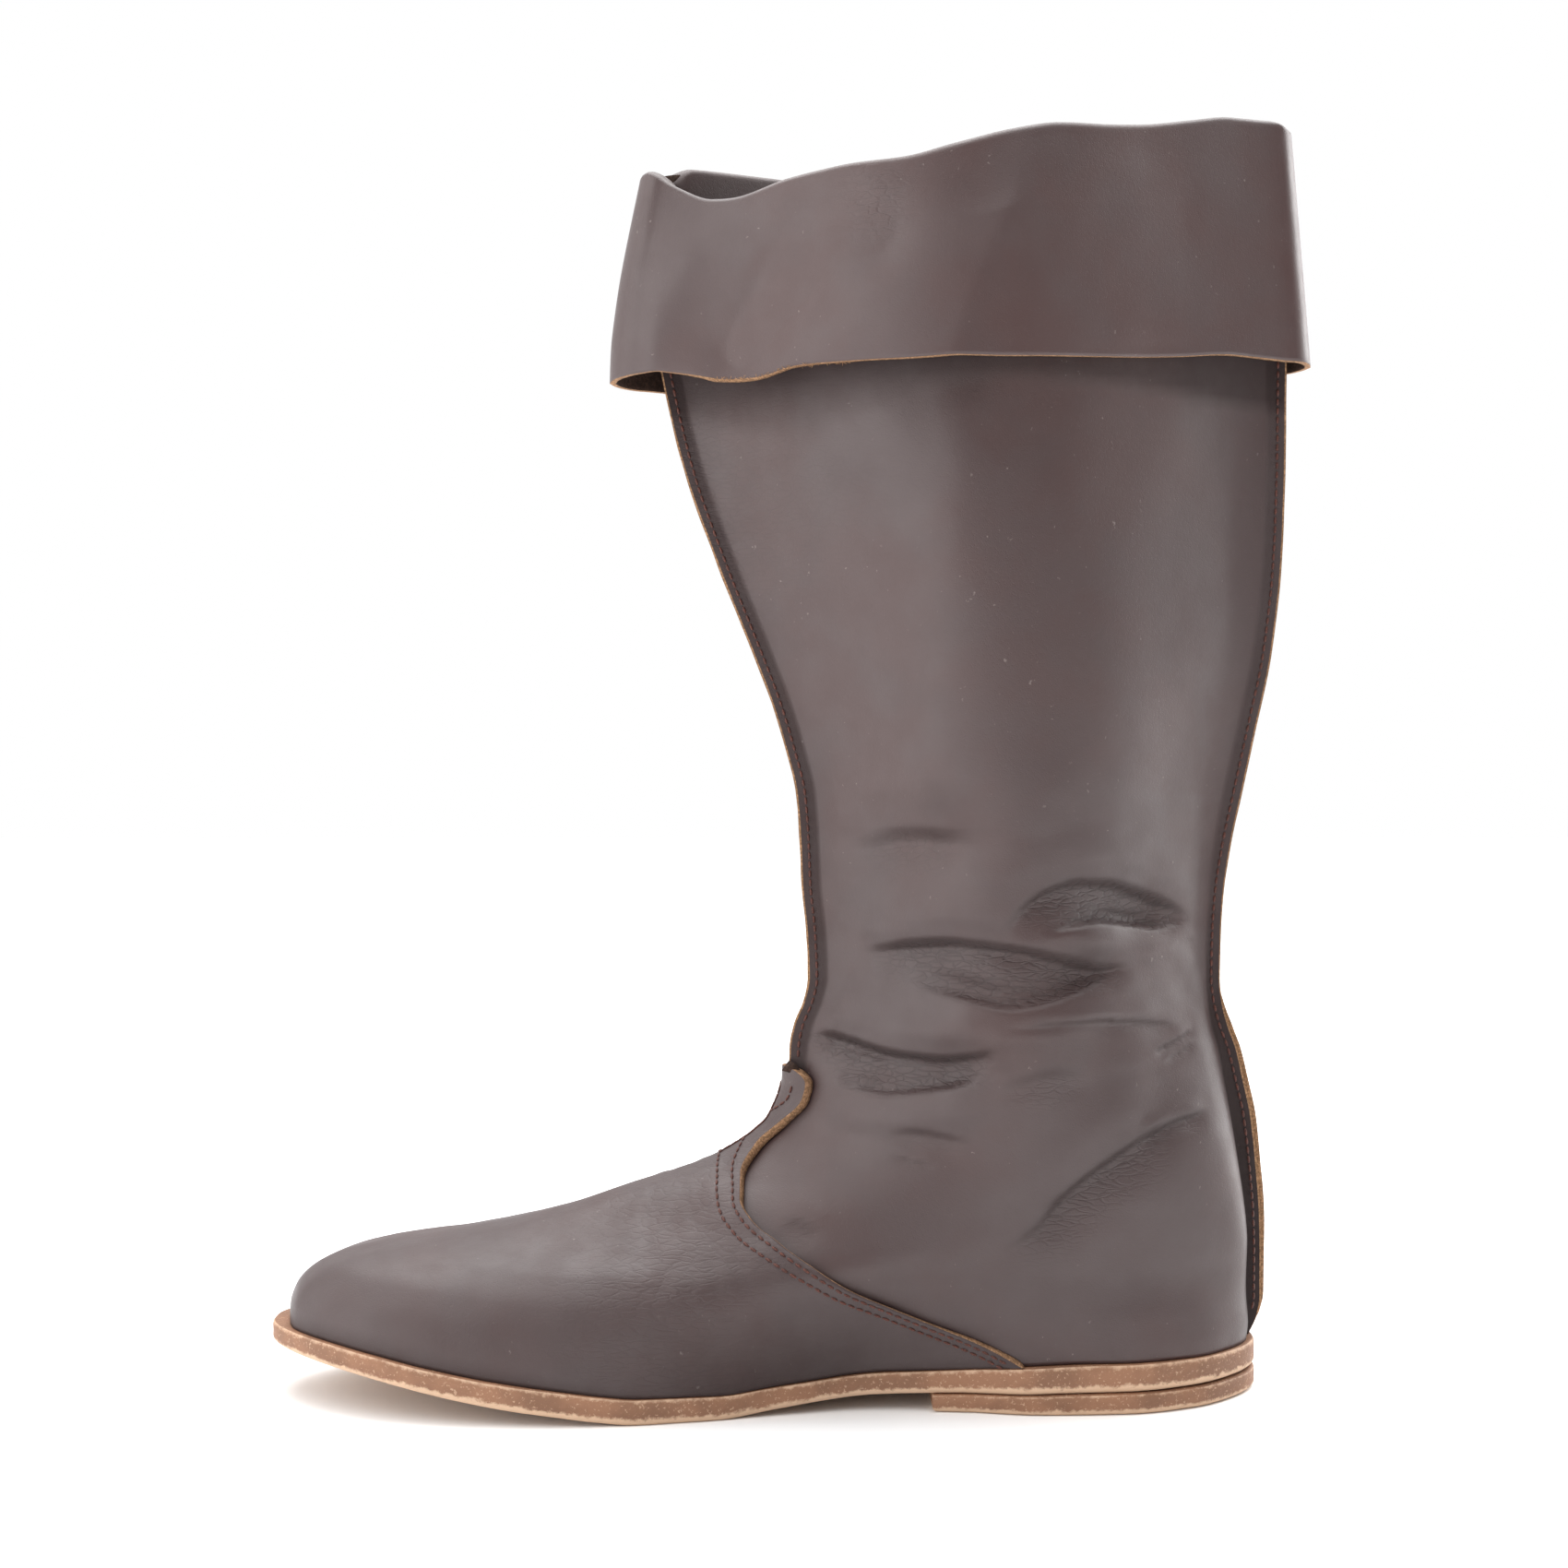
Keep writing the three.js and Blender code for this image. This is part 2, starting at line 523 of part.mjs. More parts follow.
// A closed body from rings with equal numbers of points. A hollow body's last ring meets its
// first one, and a solid body's first and last rings are closed across from side to side.
function bodyOf(rings, hollow = false) {
  const count = rings[0].length;
  const positions = rings.flat().flatMap((p) => [p.x, p.y, p.z]);
  const faces = [];
  const quad = (a, b, c, d) => faces.push(a, b, c, a, c, d);
  const walls = hollow ? rings.length : rings.length - 1;
  for (let i = 0; i < walls; i += 1) {
    const low = i * count;
    const high = ((i + 1) % rings.length) * count;
    for (let k = 0; k < count; k += 1) {
      const next = (k + 1) % count;
      quad(low + k, low + next, high + next, high + k);
    }
  }
  if (!hollow) {
    const top = (rings.length - 1) * count;
    for (let k = 0; k < count / 2 - 1; k += 1) {
      quad(k, count - 1 - k, count - 2 - k, k + 1);
      quad(top + k, top + k + 1, top + count - 2 - k, top + count - 1 - k);
    }
  }
  return outward(positions, faces);
}

// A geometry whose faces all point out, whichever way round its rings were laid.
function outward(positions, faces) {
  const corner = (i) => new THREE.Vector3().fromArray(positions, faces[i] * 3);
  let volume = 0;
  for (let i = 0; i < faces.length; i += 3) {
    volume += corner(i).dot(corner(i + 1).cross(corner(i + 2)));
  }
  const geometry = new THREE.BufferGeometry();
  geometry.setAttribute('position', new THREE.Float32BufferAttribute(positions, 3));
  geometry.setIndex(volume > 0 ? faces : [...faces].reverse());
  return geometry;
}

function toSolid(geometry) {
  return new wasm.Manifold(new wasm.Mesh({
    numProp: 3,
    vertProperties: new Float32Array(geometry.attributes.position.array),
    triVerts: new Uint32Array(geometry.index.array),
  }));
}

function toGeometry(solid) {
  const mesh = solid.getMesh();
  return outward(Array.from(mesh.vertProperties), Array.from(mesh.triVerts));
}

// A ring of the sole at one height function, drawn in all round by an inset.
function soleRing(length, inset, heightAt) {
  const half = (along) => Math.max(outlineHalf(along) - inset, INNER_EDGE);
  const steps = [...Array(SOLE_STEPS + 1).keys()];
  const point = (k, way) => {
    const share = (1 - Math.cos((Math.PI * k) / SOLE_STEPS)) / 2;
    const outer = length * share;
    const along = inset + (length - 2 * inset) * share;
    return new THREE.Vector3(-along, outlineCentre(outer) + way * half(outer), heightAt(along));
  };
  return [...steps.map((k) => point(k, -1)), ...steps.reverse().map((k) => point(k, 1))];
}

function outsole() {
  return bodyOf([
    soleRing(BOOT_LENGTH, EDGE_BEVEL, soleLow),
    soleRing(BOOT_LENGTH, 0, (along) => soleLow(along) + EDGE_BEVEL),
    soleRing(BOOT_LENGTH, 0, soleTop),
  ]);
}

// The lift keeps the outline of the sole's heel and ends in a straight breast.
function heelLift() {
  const top = (along) => soleLow(along) - CLEARANCE;
  return bodyOf([
    soleRing(LIFT_LENGTH, EDGE_BEVEL, () => 0),
    soleRing(LIFT_LENGTH, 0, () => EDGE_BEVEL),
    soleRing(LIFT_LENGTH, 0, (along) => top(along) - LIFT_TOP_BEVEL),
    soleRing(LIFT_LENGTH, LIFT_TOP_BEVEL, top),
  ]);
}

function insole() {
  const [floor] = grown(hollowed(SECTIONS).slice(0, 1), -INSOLE_CLEARANCE);
  const rim = ringOf({ ...floor, edge: INNER_EDGE });
  const raised = rim.map((p) => p.clone().setZ(p.z + INSOLE_THICKNESS));
  return bodyOf([rim, raised]);
}

function upper() {
  const outer = SECTIONS.map((section) => ringOf(section));
  const inner = hollowed(SECTIONS).map((section) => ringOf(section));
  return bodyOf([...outer, ...inner.reverse()], true);
}

// The vamp lies over the upper's own form, cut out by its edge as seen from the side.
function vamp() {
  const covered = SECTIONS.slice(0, FOOT_SECTIONS.length + VAMP_SPARE);
  const form = (growth) => grown(covered, growth).map((section) => ringOf(section));
  const outer = toSolid(bodyOf(form(CLEARANCE + VAMP_THICKNESS)));
  const under = form(CLEARANCE);
  const sunk = under[0].map((p) => p.clone().setZ(p.z - VAMP_CUT_MARGIN));
  const inner = toSolid(bodyOf([sunk, ...under]));
  const edge = new THREE.SplineCurve(VAMP_EDGE.map((row) => (
    new THREE.Vector2(-row.along * BOOT_LENGTH, SEAT_TOP + row.rise * INSTEP_HEIGHT)
  ))).getPoints(VAMP_EDGE_STEPS);
  const toe = -BOOT_LENGTH - VAMP_CUT_MARGIN;
  const top = edge[0].y;
  const cutter = new THREE.Shape([
    ...edge,
    new THREE.Vector2(edge.at(-1).x, -VAMP_CUT_MARGIN),
    new THREE.Vector2(toe, -VAMP_CUT_MARGIN),
    new THREE.Vector2(toe, top),
  ]);
  const width = BALL_WIDTH + 2 * VAMP_CUT_MARGIN;
  const block = new THREE.ExtrudeGeometry(cutter, { depth: width, bevelEnabled: false, curveSegments: 1 });
  block.rotateX(Math.PI / 2);
  block.translate(0, width / 2, 0);
  return toGeometry(outer.subtract(inner).intersect(toSolid(welded(block))));
}

// An extruded form as shared points and faces only.
function welded(geometry) {
  const points = geometry.attributes.position;
  const seen = new Map();
  const positions = [];
  const faces = [];
  for (let i = 0; i < points.count; i += 1) {
    const p = new THREE.Vector3().fromBufferAttribute(points, i);
    const key = p.toArray().map((value) => value.toFixed(WELD_DIGITS)).join();
    if (!seen.has(key)) {
      seen.set(key, seen.size);
      positions.push(...p.toArray());
    }
    faces.push(seen.get(key));
  }
  return outward(positions, faces);
}

// The cuff hangs outside the leg from the rim to its hem and closes over the leg's top edge.
// drop is 0 at the rim and 1 at the hem.
function cuff() {
  const leg = SECTIONS.slice(-CUFF_SECTIONS);
  const hem = leg[0];
  const rim = leg.at(-1);
  const ringAt = (section, out, rise = 0) => {
    const drop = (rim.backRise - section.backRise) / (rim.backRise - hem.backRise);
    return ringOf(section, {
      front: out + drop * (CUFF_FRONT_STAND - CUFF_THICKNESS - CUFF_CLEARANCE),
      back: out + drop * (CUFF_BACK_STAND - CUFF_THICKNESS - CUFF_CLEARANCE),
      rise,
      side: (place, side) => out + tableAt(CUFF_ROUNDING, 'place', 'out', place) * SEAM_DEPTH
        + drop * CUFF_FRONT_STAND * tableAt(CUFF_SIDES, 'place', side, place),
    });
  };
  const outside = CUFF_CLEARANCE + CUFF_THICKNESS;
  const overTop = RIM_CLEARANCE + CUFF_THICKNESS;
  const lip = -UPPER_WALL * CUFF_LIP;
  return bodyOf([
    ...leg.map((section) => ringAt(section, outside)),
    ringAt(rim, outside * Math.SQRT1_2, RIM_CLEARANCE + CUFF_THICKNESS * Math.SQRT1_2),
    ringAt(rim, CUFF_CLEARANCE, overTop),
    ringAt(rim, lip, overTop),
    ringAt(rim, lip, RIM_CLEARANCE),
    ...[...leg].reverse().map((section, i) => (
      ringAt(section, CUFF_CLEARANCE, i === 0 ? RIM_CLEARANCE : 0)
    )),
  ], true);
}

const leather = (color, roughness) => new THREE.MeshStandardMaterial({ color, roughness, metalness: 0 });
const PIECES = [
  { name: 'outsole', geometry: outsole(), material: leather(0xa06a4a, 0.7) },
  { name: 'heel_lift', geometry: heelLift(), material: leather(0xa8704c, 0.7) },
  { name: 'insole', geometry: insole(), material: leather(0x8a6244, 0.85) },
  { name: 'upper', geometry: upper(), material: leather(0x5e4f4b, 0.5) },
  { name: 'vamp', geometry: vamp(), material: leather(0x60504c, 0.5) },
  { name: 'cuff', geometry: cuff(), material: leather(0x5c4e4a, 0.5) },
];

// The pieces share one frame with its origin under the middle of the heel seat.
const boot = new THREE.Group();
boot.name = 'boot';
boot.position.x = HEEL_SEAT;
for (const { name, geometry, material } of PIECES) {
  const mesh = new THREE.Mesh(geometry, material);
  mesh.name = name;
  boot.add(mesh);
}

export default boot;
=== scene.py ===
import math

import bmesh
import bpy
import numpy as np
from bpy.props import FloatProperty, FloatVectorProperty, PointerProperty
from mathutils import Euler, Matrix, Vector, noise


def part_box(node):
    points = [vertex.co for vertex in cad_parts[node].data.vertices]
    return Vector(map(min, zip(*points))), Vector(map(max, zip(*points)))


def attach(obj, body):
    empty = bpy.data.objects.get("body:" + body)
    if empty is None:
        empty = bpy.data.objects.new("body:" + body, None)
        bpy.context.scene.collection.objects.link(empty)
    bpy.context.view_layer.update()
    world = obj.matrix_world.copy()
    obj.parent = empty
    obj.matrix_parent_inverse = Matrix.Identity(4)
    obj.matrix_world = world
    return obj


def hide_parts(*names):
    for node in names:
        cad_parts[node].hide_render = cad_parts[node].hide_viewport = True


bl_info = {
    "name": "Turned-cuff leather boot",
    "version": (1, 0, 0),
    "blender": (4, 5, 0),
    "location": "View3D > Sidebar > Boot",
    "description": "Dresses the boot's frame in leather: leg, vamp, cuff, sole, seams and stitches",
    "category": "Add Mesh",
}

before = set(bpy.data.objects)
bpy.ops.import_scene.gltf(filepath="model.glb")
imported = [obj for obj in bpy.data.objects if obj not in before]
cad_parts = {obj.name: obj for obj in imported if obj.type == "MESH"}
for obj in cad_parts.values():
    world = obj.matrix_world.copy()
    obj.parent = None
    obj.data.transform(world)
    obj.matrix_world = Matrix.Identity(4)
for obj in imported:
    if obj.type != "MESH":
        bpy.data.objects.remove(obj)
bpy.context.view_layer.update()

# Everything below is worked out in millimetres, along the boot forward from the back of the heel.
MM = 0.001
HEEL_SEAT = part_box("outsole")[1].x / MM
SOLE_LENGTH = (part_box("outsole")[1].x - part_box("outsole")[0].x) / MM
LIFT_LENGTH = (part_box("heel_lift")[1].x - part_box("heel_lift")[0].x) / MM
NEAR, FAR = -1, 1


# Sizes and colours that a user would change

def length(name, description, default):
    return FloatProperty(name=name, description=description, default=default, min=0.0, unit="LENGTH")


def colour(name, description, default):
    return FloatVectorProperty(name=name, description=description, default=default, size=3,
                               subtype="COLOR", min=0.0, max=1.0)


class BootSizes(bpy.types.PropertyGroup):
    """Sizes of the boot, the same as those of its solids"""
    boot_length: length("Boot length", "Outsole, heel back to toe tip", SOLE_LENGTH * MM)
    instep_height: length("Instep height", "Sole to the top point of the vamp", 0.082)
    leg_height: length("Leg height", "Top point of the vamp to the back of the rim", 0.287)
    toe_spring: length("Toe spring", "Floor to the underside of the toe tip", 0.015)
    ball_width: length("Ball width", "Outsole at the ball", 0.0932)
    waist_width: length("Waist width", "Outsole at its narrowest", 0.0618)
    heel_width: length("Heel width", "Outsole at the heel", 0.0692)
    ankle_width: length("Ankle width", "Leg over the ankle bones", 0.082)
    ankle_depth: length("Ankle depth", "Leg front to back at its narrowest", 0.126)
    leg_width: length("Leg width", "Leg at the rim", 0.104)
    leg_depth: length("Leg depth", "Leg front to back at the rim", 0.196)
    outsole_thickness: length("Outsole thickness", "Leather of the outsole", 0.008)
    lift_height: length("Lift height", "Heel lift with its glue line", 0.0066)
    upper_wall: length("Upper thickness", "Leather of leg and quarters", 0.002)
    vamp_thickness: length("Vamp thickness", "Leather of the vamp", 0.002)
    cuff_thickness: length("Cuff thickness", "Leather of the cuff", 0.0018)
    seam_depth: length("Seam depth", "Raised seam, root to cut edge", 0.006)
    front_stand: length("Front stand-off", "Hem of the cuff off the leg's front", 0.0165)
    back_stand: length("Back stand-off", "Hem of the cuff off the leg's back", 0.0078)
    stitch_length: length("Stitch length", "One stitch as it shows", 0.0023)
    stitch_pitch: length("Stitch pitch", "One stitch to the next", 0.0028)
    thread_width: length("Thread width", "Sewing thread", 0.00085)


class BootColours(bpy.types.PropertyGroup):
    """Colours of the boot's leathers and thread"""
    grain: colour("Grain", "Smooth side of the upper leather", (0.055, 0.0335, 0.0325))
    grain_warm: colour("Warm grain", "Redder places of the smooth side", (0.056, 0.0285, 0.0265))
    grain_pale: colour("Worn grain", "Rubbed places and pores", (0.22, 0.18, 0.165))
    flesh: colour("Flesh side", "Rough side of the upper leather", (0.05, 0.026, 0.018))
    raw_edge: colour("Raw edge", "Cut edge of the upper leather", (0.42, 0.235, 0.125))
    sole_edge: colour("Sole edge", "Burnished edge of sole and lift", (0.29, 0.14, 0.075))
    sole_pale: colour("Sole bevel", "Paler bevel and scuffs of the sole", (0.62, 0.42, 0.28))
    sole_face: colour("Sole face", "Underside of sole and lift", (0.36, 0.22, 0.13))
    thread: colour("Thread", "Sewing thread", (0.075, 0.02, 0.012))
    floor: colour("Floor", "Plain pale floor", (0.92, 0.92, 0.92))


# The boot's own form, as its solids have it

class Table:
    """Columns over one rising measure, joined by curves that never swing past their rows."""

    def __init__(self, by, rows):
        self.by = np.array(by, float)
        self.columns = {name: np.array([row[name] for row in rows], float) for name in rows[0]}
        self.slopes = {name: self.slopes_of(values) for name, values in self.columns.items()}

    def slopes_of(self, values):
        rise = np.diff(values) / np.diff(self.by)
        before, after = rise[:-1], rise[1:]
        turning = before * after <= 0
        total = np.where(turning, 1.0, before + after)
        inner = np.where(turning, 0.0, 2 * before * after / total)
        return np.concatenate([rise[:1], inner, rise[-1:]])

    def at(self, name, place):
        x = np.clip(np.asarray(place, float), self.by[0], self.by[-1])
        i = np.clip(np.searchsorted(self.by, x, side="right") - 1, 0, len(self.by) - 2)
        span = self.by[i + 1] - self.by[i]
        u = (x - self.by[i]) / span
        v = 1 - u
        values, slopes = self.columns[name], self.slopes[name]
        return (v * v * (1 + 2 * u) * values[i] + u * u * (1 + 2 * v) * values[i + 1]
                + u * v * span * (v * slopes[i] - u * slopes[i + 1]))


# Outline of the outsole: half width and centre at each share of its length, and the width
# whose share the half width is.
OUTLINE_ROWS = [
    (0, "heel", 0.02, 0.03), (0.03, "heel", 0.262, 0.028), (0.075, "heel", 0.397, 0.025),
    (0.15, "heel", 0.487, 0.02), (0.233, "heel", 0.495, 0.015), (0.317, "waist", 0.506, 0.018),
    (0.393, "waist", 0.5, 0.024), (0.483, "ball", 0.378, 0.026), (0.567, "ball", 0.446, 0.032),
    (0.64, "ball", 0.49, 0.036), (0.707, "ball", 0.5, 0.036), (0.773, "ball", 0.482, 0.029),
    (0.833, "ball", 0.44, 0.014), (0.887, "ball", 0.372, -0.003), (0.933, "ball", 0.286, -0.014),
    (0.972, "ball", 0.182, -0.02), (1, "ball", 0.018, -0.026),
]

# Underside of the outsole: shares of the lift's height, of the toe spring and of the thickness.
UNDERSIDE_ROWS = [
    (0, 1, 0, 1.01), (0.18, 0.98, 0, 1.01), (0.257, 0.9, 0, 0.95), (0.327, 0.84, 0, 0.84),
    (0.393, 0.74, 0, 0.8), (0.443, 0.54, 0, 0.79), (0.493, 0.27, 0, 0.83), (0.545, 0, 0, 0.88),
    (0.62, 0, 0, 0.93), (0.66, 0, 0.07, 0.93), (0.7, 0, 0.18, 0.92), (0.747, 0, 0.3, 0.91),
    (0.79, 0, 0.44, 0.89), (0.837, 0, 0.61, 0.87), (0.883, 0, 0.77, 0.85),
    (0.93, 0, 0.89, 0.84), (1, 0, 1, 0.8),
]

# How full the foot is over the outline of the sole.
FULLNESS_ROWS = [(0, 1.03), (0.2, 1.02), (0.3, 0.975), (0.42, 0.955), (0.55, 0.985), (0.7, 1), (1, 1)]

# Sections of the foot: front and its rise, back and its rise, share of the sole's plan and of
# its hollow, bend, width and half, widest place, noses, seams.
FOOT_ROWS = [
    (0.978, 0, 0.006, 0, 1, 1, 1, "ball", 0.457, 0.42, 0.5, 0.4, 0, 0),
    (0.978, 0.052, -0.0033, 0.073, 0.92, 0.9, 1, "ball", 0.461, 0.43, 0.5, 0.38, 0, 0.5),
    (0.9723, 0.132, -0.0073, 0.146, 0.72, 0.72, 0.95, "ball", 0.458, 0.44, 0.5, 0.36, 0, 0.8),
    (0.9497, 0.228, -0.0073, 0.22, 0.46, 0.5, 0.9, "ball", 0.442, 0.46, 0.52, 0.35, 0, 0.85),
    (0.9043, 0.3, -0.0073, 0.293, 0.22, 0.28, 0.8, "ball", 0.418, 0.5, 0.56, 0.34, 0, 0.85),
    (0.8113, 0.363, -0.0072, 0.366, 0.06, 0.1, 0.7, "ankle", 0.454, 0.55, 0.62, 0.34, 0, 0.85),
    (0.713, 0.443, -0.0067, 0.451, 0, 0, 0.6, "ankle", 0.442, 0.58, 0.68, 0.36, 0, 0.9),
    (0.6397, 0.53, -0.0053, 0.537, 0, 0, 0.5, "ankle", 0.439, 0.58, 0.73, 0.4, 0, 0.95),
    (0.567, 0.617, -0.0027, 0.634, 0, 0, 0.4, "ankle", 0.441, 0.56, 0.78, 0.45, 0, 1),
    (0.5173, 0.709, 0, 0.732, 0, 0, 0.3, "ankle", 0.446, 0.54, 0.84, 0.52, 0.05, 1.05),
    (0.4903, 0.799, 0.0033, 0.829, 0, 0, 0.2, "ankle", 0.454, 0.52, 0.9, 0.62, 0.2, 1.08),
    (0.4767, 0.939, 0.0107, 0.951, 0, 0, 0.1, "ankle", 0.47, 0.5, 1, 0.76, 0.6, 1),
]

# Sections of the leg: depth, front, back, rise of both, how far they follow the lines of hem
# and rim, width and half, widest place, noses, seams.
LEG_ROWS = [
    ("ankle", 1.1325, 0.0452, 0.0216, 0.0216, 0, 0, "ankle", 0.482, 0.49, 1.05, 0.85, 0.85, 0.9),
    ("ankle", 1.1214, 0.0659, 0.0463, 0.0463, 0, 0, "ankle", 0.488, 0.485, 1.08, 0.92, 0.9, 0.8),
    ("ankle", 1.0984, 0.0794, 0.0711, 0.0711, 0, 0, "ankle", 0.494, 0.48, 1.1, 0.98, 0.9, 0.7),
    ("ankle", 1.0873, 0.0857, 0.0955, 0.0955, 0, 0, "ankle", 0.5, 0.48, 1.12, 1.02, 0.95, 0.65),
    ("ankle", 1.0921, 0.0833, 0.145, 0.145, 0, 0, "ankle", 0.512, 0.475, 1.16, 1.08, 1, 0.7),
    ("ankle", 1.1032, 0.0746, 0.1944, 0.1944, 0, 0, "ankle", 0.524, 0.47, 1.18, 1.12, 1, 0.8),
    ("ankle", 1.1079, 0.0563, 0.2439, 0.2439, 0, 0, "ankle", 0.537, 0.47, 1.2, 1.15, 1, 0.9),
    ("leg", 0.7179, 0.0204, 0.2934, 0.2934, 0, 0, "leg", 0.433, 0.465, 1.22, 1.18, 1, 1),
    ("leg", 0.7352, 0.0046, 0.3425, 0.3425, 0, 0, "leg", 0.442, 0.46, 1.24, 1.2, 1, 1),
    ("leg", 0.7571, -0.0112, 0.392, 0.392, 0, 0, "leg", 0.452, 0.46, 1.25, 1.2, 1, 1),
    ("leg", 0.7847, -0.026, 0.4415, 0.4415, 0, 0, "leg", 0.462, 0.46, 1.26, 1.22, 1, 1),
    ("leg", 0.8423, -0.0418, 0.5404, 0.5404, 0, 0, "leg", 0.477, 0.465, 1.28, 1.25, 1, 1),
    ("leg", 0.8929, -0.0474, 0.639, 0.639, 0.35, 0, "leg", 0.488, 0.47, 1.3, 1.25, 1, 1),
    ("leg", 0.926, -0.0492, 0.735, 0.749, 1, 0, "leg", 0.495, 0.47, 1.3, 1.25, 1, 1),
    ("leg", 0.94, -0.0495, 0.79, 0.812, 0.68, 0.35, "leg", 0.497, 0.47, 1.3, 1.25, 1, 1),
    ("leg", 0.9475, -0.049, 0.86, 0.89, 0.3, 0.72, "leg", 0.499, 0.47, 1.3, 1.25, 1, 1),
    ("leg", 0.9515, -0.0485, 0.9544, 1, 0, 1, "leg", 0.5, 0.47, 1.3, 1.25, 1, 1),
]

HEM_ROW = -4            # the section of the leg that follows the cuff's hem, counted from the rim

# Drop of the rim and of the hem below it, from front to back of each side, near and far, as
# shares of the leg height.
RIM_ROWS = [
    (0, 0.005, 0.005), (0.05, 0.03, -0.001), (0.1, 0.051, -0.0025), (0.15, 0.057, -0.004),
    (0.22, 0.0525, -0.006), (0.3, 0.0545, -0.005), (0.39, 0.0595, 0), (0.46, 0.0525, 0.004),
    (0.54, 0.041, 0.008), (0.61, 0.0325, 0.01), (0.68, 0.0295, 0.0105), (0.75, 0.023, 0.01),
    (0.83, 0.0105, 0.0075), (0.9, 0.001, 0.003), (0.97, 0, 0.0005), (1, 0.005, 0.005),
]
HEM_ROWS = [
    (0, 0.003, 0.003), (0.05, 0.01, 0.017), (0.1, 0.018, 0.023), (0.15, 0.0202, 0.0255),
    (0.21, 0.016, 0.026), (0.3, 0.0195, 0.024), (0.4, 0.0228, 0.02), (0.5, 0.0222, 0.016),
    (0.6, 0.0188, 0.012), (0.7, 0.0136, 0.008), (0.8, 0.006, 0.004), (0.9, -0.001, 0.001), (1, 0, 0),
]

# Stand-off of the sides of the cuff's hem, near and far, as shares of its front stand-off, and
# its rounding beside the raised seams, as shares of the seam depth.
CUFF_SIDE_ROWS = [
    (0, 0.1, 0.1), (0.06, 0.36, 0.34), (0.2, 0.5, 0.42), (0.34, 0.3, 0.34), (0.5, 0.08, 0.2),
    (0.75, 0.02, 0.12), (0.93, 0.14, 0.16), (1, 0.06, 0.06),
]
CUFF_ROUNDING_ROWS = [
    (0, 0), (0.03, 0.75), (0.06, 0.72), (0.1, 0.6), (0.15, 0.4), (0.2, 0.16), (0.26, 0),
    (0.74, 0), (0.8, 0.16), (0.85, 0.4), (0.9, 0.6), (0.94, 0.72), (0.97, 0.75), (1, 0),
]

# Edge of the vamp seen from the side: along the boot and rise over the sole, sole upwards.
VAMP_EDGE_ROWS = [
    (0.232, -0.05), (0.265, 0.022), (0.3003, 0.085), (0.3397, 0.147), (0.3793, 0.211),
    (0.4187, 0.28), (0.458, 0.371), (0.4893, 0.442), (0.5163, 0.511), (0.5253, 0.565),
    (0.5253, 0.638), (0.511, 0.728), (0.484, 0.817), (0.4637, 0.896), (0.46, 0.957),
    (0.47, 1.0), (0.49, 1.02), (0.56, 1.03),
]

GAP = 0.3              # between pieces that touch, mm
CUFF_GAP = 0.4
RIM_GAP = 0.6
SEAM_STUB = 0.8
INNER_EDGE = 0.3
END_PULL = 8
RIPPLE_WAVES = 9
TENT_REACH = 2.6       # run of the vamp from the raised seam to the foot, in seam depths
NOSE_ROUNDING = 5.0    # mm over which a section's blunt end is rounded off


